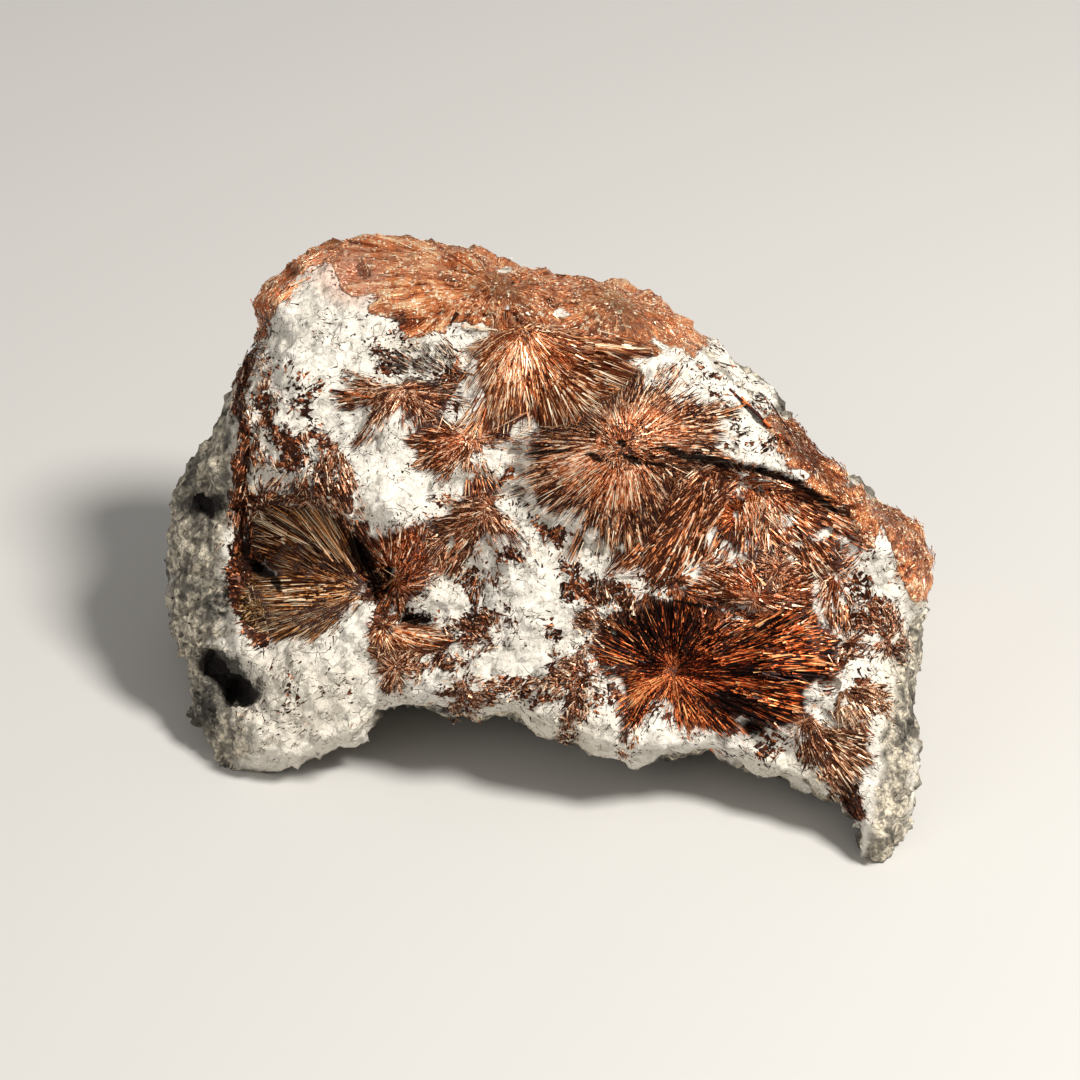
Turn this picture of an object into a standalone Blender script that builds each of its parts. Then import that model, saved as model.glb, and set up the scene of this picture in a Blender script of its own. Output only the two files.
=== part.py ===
"""Astrophyllite specimen: a block of white albite rock with sprays of bronze astrophyllite on its display face.

The rock is one solid. Each spray of crystals is a solid of its own, let into a pocket of the rock.
The display face leans back, and it is drawn as it is seen square on: a place on it is a picture point, in picture
units to the right and down, and a depth in millimetres towards the viewer. The model is in metres, +Z up.
"""

import math
import random

import bmesh
import bpy
import numpy as np
from mathutils import Matrix, Vector, noise
from mathutils.bvhtree import BVHTree

# Driving dimensions, in millimetres
SPECIMEN_WIDTH = 180.0
LEAN_BACK_DEG = 35.0
VIEWING_DISTANCE = 850.0
FOOT_DEPTH = -8.0
BACK_WALL_REACH = 60.0
BACK_WALL_LEAN = 0.12
BACK_CORNER_REACH = 124.0
BACK_TAPER_WIDTH = 34.0
BACK_TAPER_DEPTH = 95.0
POCKET_GAP = 0.5
SPRAY_GAP = 0.9

# Picture units: the specimen's outline spans 765 of them, and the picture's middle is the line of sight
PICTURE_WIDTH = 765.0
PICTURE_MIDDLE = (540.0, 540.0)
FOOT_LINE = 770.0
MM_PER_UNIT = SPECIMEN_WIDTH / PICTURE_WIDTH

METRES = 0.001
LEAN_SIN = math.sin(math.radians(LEAN_BACK_DEG))
LEAN_COS = math.cos(math.radians(LEAN_BACK_DEG))
FLOOR_HEIGHT = (PICTURE_MIDDLE[1] - FOOT_LINE) * MM_PER_UNIT * LEAN_COS + FOOT_DEPTH * LEAN_SIN

# Mesh sizes, in millimetres, and triangle budget of the rock before its pockets are cut
GRID_CELL = 2.0
ROCK_VOXEL = 2.0
ROCK_TRIANGLES = 2400

# The outline runs clockwise. Each stretch has its points, the depth of its rim from start to end,
# and how wide the rounded shoulder between the rim and the display face is, both in millimetres.
OUTLINE = {
    "left_wall": (
        (-8, -22),
        (14, 20),
        [(222, 767), (210, 742), (193, 714), (198, 695), (186, 672), (186, 653), (168, 637), (163, 618),
         (167, 566), (170, 520), (175, 483)],
    ),
    "left_brow": (
        (-22, -22),
        (18, 13),
        [(190, 463), (205, 440), (220, 408), (235, 380), (249, 345), (256, 325), (249, 303)],
    ),
    "crest": (
        (-22, -19),
        (17, 20),
        [(263, 289), (280, 271), (300, 256), (325, 246), (352, 234), (400, 232), (440, 235), (480, 240),
         (505, 260), (535, 262), (560, 272), (580, 278), (595, 273), (620, 278), (650, 293), (670, 304)],
    ),
    "right_brow": (
        (-16, -6),
        (14, 9),
        [(685, 319), (715, 340), (745, 368), (775, 394), (790, 412), (803, 430), (820, 453), (835, 467),
         (850, 474), (880, 497)],
    ),
    "right_shoulder": (
        (-4, -2),
        (8, 8),
        [(905, 515), (920, 523), (929, 548), (927, 585), (927, 603)],
    ),
    "right_wall": (
        (-5, 19),
        (13, 10),
        [(914, 625), (919, 650), (916, 690), (921, 740), (922, 770), (919, 812), (909, 841), (891, 858)],
    ),
    "leg": (
        (23, 12),
        (4, 4),
        [(873, 871), (862, 858), (851, 832), (843, 814), (834, 800)],
    ),
    "arch": (
        (9, 6),
        (4, 4),
        [(815, 794), (790, 787), (760, 778), (735, 764), (715, 757), (690, 761), (660, 764), (635, 770),
         (618, 763), (600, 758), (580, 749), (560, 742), (540, 736), (520, 720), (500, 714), (470, 718),
         (450, 712), (430, 709), (395, 706)],
    ),
    "foot": (
        (2, -8),
        (6, 5),
        [(381, 711), (373, 724), (366, 744), (353, 751), (330, 756), (310, 770), (290, 774), (240, 773)],
    ),
}

# Depth of the display face at named places: (across, down, depth in mm)
STATIONS = {
    "crest_left": (300, 300, -2),
    "crest_middle": (440, 285, 3),
    "crest_right": (610, 315, 6),
    "white_brow": (330, 370, 10),
    "white_face": (400, 480, 19),
    "upper_middle": (510, 370, 17),
    "centre": (625, 440, 27),
    "right_brow": (735, 395, 13),
    "right_ridge": (800, 470, 18),
    "right_shoulder": (895, 555, 17),
    "under_ridge": (760, 540, 19),
    "middle": (560, 590, 24),
    "lower_middle": (480, 660, 19),
    "arch_middle": (600, 720, 20),
    "lower_right": (680, 670, 21),
    "right_low": (800, 680, 25),
    "right_edge": (880, 640, 15),
    "leg_top": (860, 740, 25),
    "leg_tip": (878, 830, 29),
    "arch_right": (760, 755, 19),
    "left_middle": (410, 570, 14),
    "left_low": (400, 660, 13),
    "left_foot": (300, 710, 9),
    "left_foot_edge": (240, 740, 2),
    "left_wall_low": (210, 620, -2),
    "left_pocket": (300, 570, 9),
    "left_brow": (280, 440, 10),
    "left_wall_high": (215, 490, -4),
}
STATION_SPREAD = 46.0

# Swells and hollows on the display face: (across, down, half width, half height, turn in degrees, rise in mm)
SWELLS = {
    "centre_dome": (628, 440, 95, 75, 0, 3.5),
    "lower_right_bowl": (690, 655, 95, 60, 0, -5.5),
    "bowl_brow": (690, 575, 90, 22, 0, 3.0),
    "left_pocket": (300, 560, 62, 58, 20, -8.0),
    "left_pocket_floor": (255, 555, 26, 26, 0, -5.0),
    "gold_lump": (262, 592, 20, 18, 0, 5.0),
    "fan_ridge": (320, 585, 50, 22, -10, 3.5),
    "pocket_brow": (300, 470, 70, 26, 20, 4.0),
    "white_shelf": (385, 500, 40, 40, 0, 3.0),
    "dark_hollow": (383, 578, 16, 24, 0, -8.0),
    "brown_mound": (412, 562, 22, 28, 0, 3.0),
    "blade_hollow": (415, 622, 34, 9, 8, -5.0),
    "wall_hollow": (232, 690, 26, 22, 35, -11.0),
    "wall_pit": (207, 500, 15, 10, 0, -6.0),
    "foot_block": (310, 680, 60, 30, -12, 3.0),
    "foot_corner": (345, 735, 22, 16, 0, 2.5),
    "upper_hollow": (585, 372, 46, 16, 25, -3.0),
    "crest_hollow": (560, 300, 30, 14, 0, -2.5),
    "under_bowl_pit": (755, 742, 34, 9, 8, -6.0),
    "arch_lump_left": (560, 715, 22, 16, 0, 2.0),
    "arch_lump_middle": (605, 725, 22, 18, 0, 3.0),
    "arch_lump_right": (640, 742, 16, 12, 0, 2.0),
    "right_hollow": (865, 615, 26, 20, 0, -3.0),
    "leg_hollow": (835, 740, 26, 24, 40, -3.5),
    "middle_hollow": (470, 560, 40, 26, 30, -2.0),
}

# Ledges: the rock above the line stands proud of the rock below it: (rise in mm, fade in units, line points)
LEDGES = {
    "right_ledge": (5.5, 55, [(655, 452), (700, 462), (745, 480), (790, 490), (822, 503), (846, 506)]),
    "pocket_ledge": (4.5, 40, [(252, 508), (300, 512), (345, 520), (372, 560)]),
    "left_wall_edge": (-3.0, 40, [(262, 345), (250, 420), (243, 480), (238, 560), (250, 640)]),
}

# Sprays: (across, down, crystal rise in mm, crystals round the spray, {direction in degrees: reach in units}).
# A direction is counted anticlockwise from the right, and the reach is eased between the directions given.
SPRAYS = {
    "spray_crest": (
        (497, 291), 1.6, 26,
        {0: 80, 25: 60, 40: 50, 90: 60, 120: 70, 155: 150, 175: 166, 192: 162, 208: 112, 225: 66, 255: 34,
         300: 24, 335: 60},
    ),
    "spray_crest_right": (
        (622, 313), 1.6, 16,
        {0: 70, 30: 50, 90: 44, 150: 64, 180: 62, 205: 50, 240: 40, 270: 40, 300: 46, 330: 80},
    ),
    "spray_upper": (
        (525, 346), 2.0, 22,
        {0: 110, 20: 60, 45: 36, 90: 24, 150: 40, 180: 66, 200: 80, 215: 86, 245: 88, 270: 84, 300: 66,
         335: 90},
    ),
    "spray_centre": (
        (626, 443), 2.4, 36,
        {0: 124, 25: 112, 50: 92, 90: 78, 130: 84, 165: 108, 185: 122, 205: 124, 230: 124, 270: 122,
         300: 104, 325: 96, 345: 116},
    ),
    "spray_under_ledge": (
        (750, 504), 1.8, 18,
        {0: 84, 25: 24, 60: 16, 120: 20, 155: 60, 180: 60, 205: 90, 235: 84, 270: 62, 320: 50, 345: 70},
    ),
    "spray_right": (
        (762, 590), 1.8, 22,
        {0: 100, 30: 112, 60: 88, 90: 78, 125: 88, 160: 76, 200: 44, 250: 26, 300: 40, 340: 96},
    ),
    "spray_lower_right": (
        (672, 671), 2.2, 36,
        {0: 182, 15: 182, 30: 128, 60: 90, 90: 84, 130: 86, 160: 86, 190: 60, 215: 56, 245: 74, 275: 66,
         310: 92, 335: 150, 350: 176},
    ),
    "spray_ridge": (
        (800, 454), 1.6, 14,
        {0: 26, 45: 14, 90: 18, 120: 34, 140: 62, 160: 34, 195: 54, 230: 36, 270: 44, 300: 62, 318: 96,
         338: 76},
    ),
    "spray_shoulder": (
        (893, 542), 1.8, 14,
        {0: 34, 45: 30, 90: 30, 135: 48, 165: 54, 200: 40, 250: 36, 290: 66, 320: 42},
    ),
    "spray_leg": (
        (812, 738), 1.6, 10,
        {0: 16, 90: 12, 135: 36, 180: 22, 230: 26, 275: 36, 305: 74, 322: 66, 345: 30},
    ),
    "spray_leg_top": (
        (862, 712), 1.4, 10,
        {0: 26, 60: 26, 100: 22, 160: 24, 210: 26, 255: 38, 280: 64, 310: 34},
    ),
    "spray_right_edge": (
        (872, 624), 1.4, 12,
        {0: 36, 60: 26, 130: 30, 180: 44, 230: 36, 270: 30, 320: 36},
    ),
    "spray_pocket": (
        (366, 590), 2.6, 22,
        {0: 6, 60: 9, 100: 24, 125: 84, 150: 120, 170: 130, 188: 130, 205: 114, 225: 66, 260: 18, 320: 6},
    ),
    "spray_pocket_brow": (
        (344, 492), 1.6, 14,
        {0: 12, 60: 14, 110: 34, 145: 52, 170: 72, 185: 96, 205: 44, 235: 30, 265: 60, 285: 84, 310: 20},
    ),
    "spray_white_face": (
        (402, 398), 1.8, 16,
        {0: 50, 30: 70, 55: 30, 100: 14, 150: 34, 175: 74, 195: 52, 225: 60, 255: 68, 290: 46, 330: 66},
    ),
    "spray_dark_needles": (
        (424, 347), 1.2, 12,
        {0: 44, 40: 26, 90: 20, 140: 36, 175: 70, 200: 52, 235: 24, 270: 20, 320: 30},
    ),
    "spray_middle_left": (
        (455, 452), 1.6, 12,
        {0: 50, 40: 34, 90: 20, 160: 28, 200: 38, 235: 50, 280: 28, 320: 50},
    ),
    "spray_middle": (
        (486, 520), 1.8, 16,
        {0: 36, 45: 28, 90: 28, 140: 38, 180: 58, 215: 66, 260: 54, 300: 72, 325: 62},
    ),
    "spray_mound": (
        (411, 560), 1.8, 12,
        {0: 30, 60: 36, 90: 38, 130: 32, 200: 24, 270: 36, 320: 36},
    ),
    "spray_low_left": (
        (416, 642), 1.6, 14,
        {0: 88, 20: 46, 90: 22, 160: 42, 200: 44, 250: 42, 290: 46, 330: 56},
    ),
    "spray_arch_left": (
        (482, 694), 1.2, 10,
        {0: 40, 60: 16, 120: 18, 180: 46, 210: 20, 270: 12, 330: 22},
    ),
    "spray_arch": (
        (575, 678), 1.6, 12,
        {0: 28, 60: 34, 90: 44, 130: 34, 160: 46, 200: 60, 230: 34, 280: 28, 330: 30},
    ),
    "spray_brow_left": (
        (272, 303), 1.4, 10,
        {0: 26, 45: 46, 90: 16, 150: 16, 200: 16, 250: 36, 300: 26},
    ),
}
SPRAY_SINK = 2.4
SPRAY_RIM_SINK = 1.3
SPRAY_RING_SHARES = (0.5, 1.0)
POCKET_HEADROOM = 12.0
REACH_STEP = 1.5
LEAST_REACH = 5.0
RIM_MARGIN = 1.6

ROCK_COLOUR = (0.80, 0.78, 0.71)
CRYSTAL_COLOUR = (0.33, 0.13, 0.05)


def picture_to_mm(across, down):
    """The place of a picture point on the face plane, right and up of the line of sight."""
    return (
        (across - PICTURE_MIDDLE[0]) * MM_PER_UNIT,
        (PICTURE_MIDDLE[1] - down) * MM_PER_UNIT,
    )


def face_point(right, up, depth):
    """World place, in millimetres, of a face-plane point seen at that depth. Works on numbers and arrays."""
    nearer = 1 - depth / VIEWING_DISTANCE
    rise = up * nearer
    return right * nearer, rise * LEAN_SIN - depth * LEAN_COS, rise * LEAN_COS + depth * LEAN_SIN


def floor_depth(up):
    """Depth at which a line of sight through the face plane meets the floor."""
    return (FLOOR_HEIGHT - up * LEAN_COS) / LEAN_SIN


def outline_samples():
    """The whole outline as closely spaced rows of (right, up, rim depth, shoulder width)."""
    rows = []
    for rim, shoulder, points in OUTLINE.values():
        for number, point in enumerate(points):
            share = number / (len(points) - 1)
            rows.append((
                *picture_to_mm(*point),
                rim[0] + share * (rim[1] - rim[0]),
                shoulder[0] + share * (shoulder[1] - shoulder[0]),
            ))
    rows = np.array(rows)
    following = np.roll(rows, -1, axis=0)
    steps = [np.linspace(a, b, 5, endpoint=False) for a, b in zip(rows, following)]
    return np.concatenate(steps)


def inside_outline(right, up, outline):
    """Whether each point lies inside the outline, by counting crossings."""
    inside = np.zeros(len(right), bool)
    for a, b in zip(outline, np.roll(outline, -1, axis=0)):
        if a[1] == b[1]:
            continue
        crossing = a[0] + (up - a[1]) / (b[1] - a[1]) * (b[0] - a[0])
        inside ^= ((a[1] > up) != (b[1] > up)) & (right < crossing)
    return inside


def rim_values(right, up, outline):
    """Distance to the outline, and the rim depth and shoulder width eased from the stretches nearby."""
    gap = np.hypot(right[:, None] - outline[None, :, 0], up[:, None] - outline[None, :, 1])
    weight = 1 / (gap + 0.05) ** 3
    weight /= weight.sum(axis=1, keepdims=True)
    return gap.min(axis=1), weight @ outline[:, 2], weight @ outline[:, 3]


def quarter_round(share):
    """0 at the rim, rising steeply and then levelling off at 1."""
    level = np.clip(share, 0, 1)
    return np.sqrt(1 - (1 - level) ** 2)


def ledge_rise(across, down, rise, fade, line):
    """Rock above a line stands proud of it and fades back upwards."""
    line = np.array(line, float)
    best = np.full(across.shape, 1e9)
    side = np.zeros(across.shape)
    for start, end in zip(line, line[1:]):
        run = end - start
        share = np.clip(((across - start[0]) * run[0] + (down - start[1]) * run[1]) / (run @ run), 0, 1)
        off_across = across - start[0] - share * run[0]
        off_down = down - start[1] - share * run[1]
        gap = np.hypot(off_across, off_down)
        turned = np.sign(run[0] * off_down - run[1] * off_across)
        side = np.where(gap < best, turned, side)
        best = np.minimum(best, gap)
    above = np.exp(-best / fade)
    below = -0.5 * np.exp(-best / (0.5 * fade))
    step = np.clip(-side * best / 4, -1, 1)
    return rise * np.where(step > 0, above * step, -below * step)


def display_depth(across, down):
    """Depth of the display face at picture points, before its rim is rounded off."""
    total = np.zeros(across.shape)
    weights = np.zeros(across.shape)
    for at_across, at_down, depth in STATIONS.values():
        weight = np.exp(-((across - at_across) ** 2 + (down - at_down) ** 2) / (2 * STATION_SPREAD ** 2))
        total += weight * depth
        weights += weight
    depth = total / (weights + 1e-9)
    for at_across, at_down, wide, high, turn, rise in SWELLS.values():
        turn = math.radians(turn)
        along = (across - at_across) * math.cos(turn) + (down - at_down) * math.sin(turn)
        over = (down - at_down) * math.cos(turn) - (across - at_across) * math.sin(turn)
        depth += rise * np.exp(-((along / wide) ** 2 + (over / high) ** 2))
    for rise, fade, line in LEDGES.values():
        depth += ledge_rise(across, down, rise, fade, line)
    return depth


def front_depth(right, up, outline):
    """Depth of the rock's visible side."""
    across = right / MM_PER_UNIT + PICTURE_MIDDLE[0]
    down = PICTURE_MIDDLE[1] - up / MM_PER_UNIT
    gap, rim, shoulder = rim_values(right, up, outline)
    return rim + (display_depth(across, down) - rim) * quarter_round(gap / shoulder)


def back_depth(right, up, outline):
    """Depth of the rock's hidden side: a tapering back, a leaning back wall with cut corners, and the floor."""
    gap, rim, _ = rim_values(right, up, outline)
    taper = rim - BACK_TAPER_DEPTH * quarter_round(gap / BACK_TAPER_WIDTH)
    across_share = LEAN_COS - BACK_WALL_LEAN * LEAN_SIN
    up_share = LEAN_SIN + BACK_WALL_LEAN * LEAN_COS
    wall = (up * up_share - BACK_WALL_REACH) / across_share
    corner = (up * LEAN_SIN - (BACK_CORNER_REACH - np.abs(right - 4))) / LEAN_COS
    below_floor = floor_depth(up) - 0.8
    deepest = np.maximum.reduce([taper, wall, corner, below_floor])
    return np.minimum(deepest, rim)


def new_object(name, bm, collection):
    """A mesh object made from a bmesh, which is then freed."""
    mesh = bpy.data.meshes.new(name)
    bm.to_mesh(mesh)
    bm.free()
    obj = bpy.data.objects.new(name, mesh)
    collection.objects.link(obj)
    return obj


def baked(obj, collection):
    """The object as its modifiers leave it, as a plain mesh object of the same name."""
    graph = bpy.context.evaluated_depsgraph_get()
    mesh = bpy.data.meshes.new_from_object(obj.evaluated_get(graph))
    name = obj.name
    bpy.data.objects.remove(obj)
    mesh.name = name
    done = bpy.data.objects.new(name, mesh)
    collection.objects.link(done)
    return done


def rock_blank(outline, collection):
    """Two sheets, the display face and the hidden side, joined along the outline."""
    low = outline[:, :2].min(axis=0)
    high = outline[:, :2].max(axis=0)
    size = high - low
    bm = bmesh.new()
    bmesh.ops.create_grid(
        bm, x_segments=round(size[0] / GRID_CELL), y_segments=round(size[1] / GRID_CELL), size=0.5
    )
    for vert in bm.verts:
        vert.co = (low[0] + (vert.co.x + 0.5) * size[0], low[1] + (vert.co.y + 0.5) * size[1], 0)
    flat = np.array([vert.co for vert in bm.verts])
    inside = inside_outline(flat[:, 0], flat[:, 1], outline)
    gone = [vert for vert, kept in zip(bm.verts, inside) if not kept]
    bmesh.ops.delete(bm, geom=gone, context="VERTS")
    loose = [vert for vert in bm.verts if not vert.link_faces]
    bmesh.ops.delete(bm, geom=loose, context="VERTS")
    edge = {vert for side in bm.edges if side.is_boundary for vert in side.verts}
    for vert in edge:
        nearest = outline[np.argmin(np.hypot(outline[:, 0] - vert.co.x, outline[:, 1] - vert.co.y))]
        vert.co = (nearest[0], nearest[1], 0)
    copy = bmesh.ops.duplicate(bm, geom=bm.verts[:] + bm.edges[:] + bm.faces[:])["geom"]
    hidden = {item for item in copy if isinstance(item, bmesh.types.BMVert)}
    bmesh.ops.reverse_faces(bm, faces=[item for item in copy if isinstance(item, bmesh.types.BMFace)])
    flat = np.array([vert.co for vert in bm.verts])
    front = front_depth(flat[:, 0], flat[:, 1], outline)
    back = back_depth(flat[:, 0], flat[:, 1], outline)
    for number, vert in enumerate(bm.verts):
        depth = back[number] if vert in hidden else front[number]
        vert.co = Vector(face_point(flat[number, 0], flat[number, 1], depth)) * METRES
    bmesh.ops.remove_doubles(bm, verts=bm.verts[:], dist=0.0004)
    bmesh.ops.recalc_face_normals(bm, faces=bm.faces[:])
    return new_object("rock_blank", bm, collection)


def roughened(mesh):
    """Moves each point of the rock in or out: broad lumps, broken blocks and a fine grain."""
    towards_viewer = Vector((0, -LEAN_COS, LEAN_SIN))
    mesh.update()
    moved = []
    for vert in mesh.vertices:
        place = vert.co / METRES
        hidden = 0.5 - 0.5 * max(-1.0, min(1.0, 2 * vert.normal.dot(towards_viewer)))
        lumps = noise.fractal(place / 22, 1.0, 2.0, 3)
        near, far = noise.voronoi(place / 15)[0][:2]
        blocks = min(far - near, 0.4) / 0.4 - 0.6
        grain = noise.noise(place / 4.5)
        height = (0.9 + 1.6 * hidden) * lumps + (0.8 + 0.9 * hidden) * blocks + 0.6 * grain
        moved.append(vert.co + vert.normal * height * METRES)
    for vert, place in zip(mesh.vertices, moved):
        vert.co = place


def cut(obj, cutter, collection):
    """The object with the cutter taken out of it, as a plain mesh object of the same name."""
    modifier = obj.modifiers.new("cut", "BOOLEAN")
    modifier.operation = "DIFFERENCE"
    modifier.solver = "EXACT"
    modifier.object = cutter
    done = baked(obj, collection)
    return done


def make_rock(collection, tools):
    """The albite block, without its pockets."""
    blank = rock_blank(outline_samples(), collection)
    remesh = blank.modifiers.new("even_faces", "REMESH")
    remesh.mode = "VOXEL"
    remesh.voxel_size = ROCK_VOXEL * METRES
    rock = baked(blank, collection)
    roughened(rock.data)
    fewer = rock.modifiers.new("fewer_faces", "DECIMATE")
    rock.data.calc_loop_triangles()
    fewer.ratio = ROCK_TRIANGLES / len(rock.data.loop_triangles)
    rock = baked(rock, collection)
    bm = bmesh.new()
    bmesh.ops.create_cube(bm, size=0.4)
    ground = new_object("ground_cutter", bm, tools)
    ground.location = (0, 0, FLOOR_HEIGHT * METRES - 0.2)
    bpy.context.view_layer.update()
    rock = cut(rock, ground, collection)
    rock.name = "albite_rock"
    return rock


def reach_at(reaches, direction):
    """The reach in a direction, eased between the directions given."""
    angles = sorted(reaches)
    for start, end in zip(angles, angles[1:] + [angles[0] + 360]):
        turned = direction if direction >= angles[0] else direction + 360
        if start <= turned <= end:
            share = (turned - start) / (end - start)
            share = share * share * (3 - 2 * share)
            return reaches[start] + share * (reaches[end % 360 if end >= 360 else end] - reaches[start])
    return reaches[angles[0]]


def share_of_reach(name, places, spare):
    """How far towards a spray's own limit each place lies, less a spare distance: under 1 is within it."""
    centre = np.array(SPRAYS[name][0], float)
    away = places - centre
    directions = np.degrees(np.arctan2(-away[:, 1], away[:, 0])) % 360
    limits = np.array([reach_at(SPRAYS[name][3], direction) for direction in directions])
    return (np.hypot(*away.T) - spare) / limits


def free_reach(name, direction):
    """How far a spray grows that way, in picture units, before its limit, a neighbour's ground or the rim."""
    wanted = max(LEAST_REACH, reach_at(SPRAYS[name][3], direction))
    spare = SPRAY_GAP / 2 / MM_PER_UNIT
    reaches = np.arange(REACH_STEP, wanted + REACH_STEP, REACH_STEP)
    places = np.array(SPRAYS[name][0], float) + np.outer(reaches, picture_heading(direction))
    blocked = np.zeros(len(reaches), bool)
    for other in SPRAYS:
        if other != name:
            blocked |= share_of_reach(other, places, spare) < (reaches + spare) / wanted
    right, up = picture_to_mm(*places.T)
    gaps = np.hypot(right[:, None] - OUTLINE_SAMPLES[None, :, 0], up[:, None] - OUTLINE_SAMPLES[None, :, 1])
    blocked |= gaps.min(axis=1) < RIM_MARGIN
    blocked |= ~inside_outline(right, up, OUTLINE_SAMPLES)
    if not blocked.any():
        return wanted
    return max(LEAST_REACH, min(wanted, reaches[np.argmax(blocked)] - REACH_STEP))


def spray_limits(name, count):
    """The free reach in each of so many directions, never more than that of the directions beside it."""
    fine = [free_reach(name, 360 * number / (2 * count)) for number in range(2 * count)]
    return [min(fine[(2 * number + beside) % (2 * count)] for beside in (-2, -1, 0, 1, 2)) for number in range(count)]


def picture_heading(direction):
    """Unit step in the picture, right and down, for a direction counted anticlockwise from the right."""
    return np.array((math.cos(math.radians(direction)), -math.sin(math.radians(direction))))


def line_of_sight(across, down):
    """The eye, and the unit direction from it through a picture point."""
    right, up = picture_to_mm(across, down)
    eye = Vector(face_point(0.0, 0.0, VIEWING_DISTANCE)) * METRES
    aim = Vector(face_point(right, up, 0.0)) * METRES
    return eye, (aim - eye).normalized()


def distance_seen(tree, centre, spot):
    """Distance from the eye to the rock at a picture point, or at the last point inwards that shows rock."""
    for share in (1.0, 0.97, 0.93, 0.88, 0.8, 0.6, 0.0):
        eye, towards = line_of_sight(*(centre + (spot - centre) * share))
        distance = tree.ray_cast(eye, towards)[3]
        if distance is not None:
            return distance
    raise ValueError("no rock behind a spray's centre")


def spray_plan(name, tree):
    """For each direction round a spray: its heading and reach, and the spots and distances along it.

    Even directions run along a crystal and odd ones along the groove between two.
    """
    centre = np.array(SPRAYS[name][0], float)
    dice = random.Random(name)
    count = 2 * SPRAYS[name][2]
    limits = spray_limits(name, count)
    tips = [limit * dice.uniform(0.92, 1.0) for limit in limits[::2]]
    reaches = []
    for number, limit in enumerate(limits):
        tip = tips[number // 2]
        if number % 2 == 1:
            following = tips[(number + 1) // 2 % len(tips)]
            chord = 2 * tip * following / (tip + following) * math.cos(math.pi / len(tips))
            tip = min(limit, chord) * dice.uniform(0.82, 0.90)
        reaches.append(tip)
    plan = []
    for number, reach in enumerate(reaches):
        heading = picture_heading(360 * number / count)
        spots = [centre + heading * reach * share for share in SPRAY_RING_SHARES]
        distances = [distance_seen(tree, centre, spot) for spot in spots]
        plan.append((heading, reach, spots, distances))
    return plan


def floor_distance(plan, number, reach, pole_distance):
    """Distance of a spray's underside that far out along a direction.

    The underside is a fan of flat faces, one between each crystal and the next.
    """
    if number % 2 == 0:
        _, own_reach, _, distances = plan[number]
        rim = distances[-1] + SPRAY_RIM_SINK * METRES
        return pole_distance + (rim - pole_distance) * reach / own_reach
    before = plan[number - 1]
    after = plan[(number + 1) % len(plan)]
    slopes = [(row[3][-1] + SPRAY_RIM_SINK * METRES - pole_distance) / row[1] for row in (before, after)]
    half_turn = math.pi * 2 / len(plan)
    return pole_distance + sum(slopes) / 2 * reach / math.cos(half_turn)


def spray_shape(name, tree, plan, is_pocket):
    """A spray's closed shape, ridged crystals fanned out from its centre, or the pocket that holds it."""
    rise = SPRAYS[name][1]
    centre = np.array(SPRAYS[name][0], float)
    middle = distance_seen(tree, centre, centre)
    pole_distance = middle + SPRAY_SINK * METRES
    bm = bmesh.new()

    def seen_at(spot, distance):
        start, way = line_of_sight(*spot)
        return bm.verts.new(start + way * distance)

    margin = POCKET_GAP * METRES if is_pocket else 0.0
    top_pole = seen_at(centre, middle - (POCKET_HEADROOM if is_pocket else rise) * METRES)
    base_pole = seen_at(centre, pole_distance + margin)
    rings = []
    numbers = range(0, len(plan), 2) if is_pocket else range(len(plan))
    for number in numbers:
        heading, reach, spots, distances = plan[number]
        if is_pocket:
            rim = reach + POCKET_GAP / MM_PER_UNIT
            spot = centre + heading * rim
            floor = floor_distance(plan, number, rim, pole_distance) + margin
            top = min(distances[-1], floor) - POCKET_HEADROOM * METRES
            rings.append([seen_at(spot, top), seen_at(spot, floor)])
            continue
        ridge = number % 2 == 0
        ring = []
        for share, spot, distance in zip(SPRAY_RING_SHARES, spots, distances):
            height = rise * (1 - 0.7 * share ** 2) + (0.5 if ridge else -0.4) * share
            ring.append(seen_at(spot, distance - height * METRES))
        floor = floor_distance(plan, number, reach, pole_distance)
        bm.verts.remove(ring.pop())
        edge = min(distances[-1], floor - 0.6 * METRES) - (0.6 if ridge else 0.2) * METRES
        ring.append(seen_at(spots[-1], edge))
        ring.append(seen_at(spots[-1], floor))
        rings.append(ring)
    for ring, following in zip(rings, rings[1:] + rings[:1]):
        bm.faces.new((top_pole, following[0], ring[0]))
        for inner, outer, next_inner, next_outer in zip(ring, ring[1:], following, following[1:]):
            bm.faces.new((inner, next_inner, next_outer))
            bm.faces.new((inner, next_outer, outer))
        bm.faces.new((base_pole, ring[-1], following[-1]))
    bmesh.ops.recalc_face_normals(bm, faces=bm.faces[:])
    return bm


def make_sprays(rock, collection, tools):
    """Adds every spray, and returns the rock with a pocket cut for each."""
    bm = bmesh.new()
    bm.from_mesh(rock.data)
    tree = BVHTree.FromBMesh(bm)
    bm.free()
    for name in SPRAYS:
        plan = spray_plan(name, tree)
        new_object(name, spray_shape(name, tree, plan, False), collection)
        pocket = new_object(name + "_pocket", spray_shape(name, tree, plan, True), tools)
        rock = cut(rock, pocket, collection)
    return rock


def material(name, colour, roughness, metallic):
    """A plain finish."""
    made = bpy.data.materials.new(name)
    made.use_nodes = True
    shader = made.node_tree.nodes["Principled BSDF"]
    shader.inputs["Base Color"].default_value = (*colour, 1)
    shader.inputs["Roughness"].default_value = roughness
    shader.inputs["Metallic"].default_value = metallic
    return made


def centred_on_base(objects):
    """Moves the whole specimen so that the middle of its base is the origin."""
    corners = [vert.co for obj in objects for vert in obj.data.vertices]
    low = Vector(map(min, zip(*corners)))
    high = Vector(map(max, zip(*corners)))
    shift = Matrix.Translation((-(low.x + high.x) / 2, -(low.y + high.y) / 2, -low.z))
    for obj in objects:
        obj.data.transform(shift)
    return shift.to_translation()


def new_collection(name):
    made = bpy.data.collections.new(name)
    bpy.context.scene.collection.children.link(made)
    return made


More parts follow.
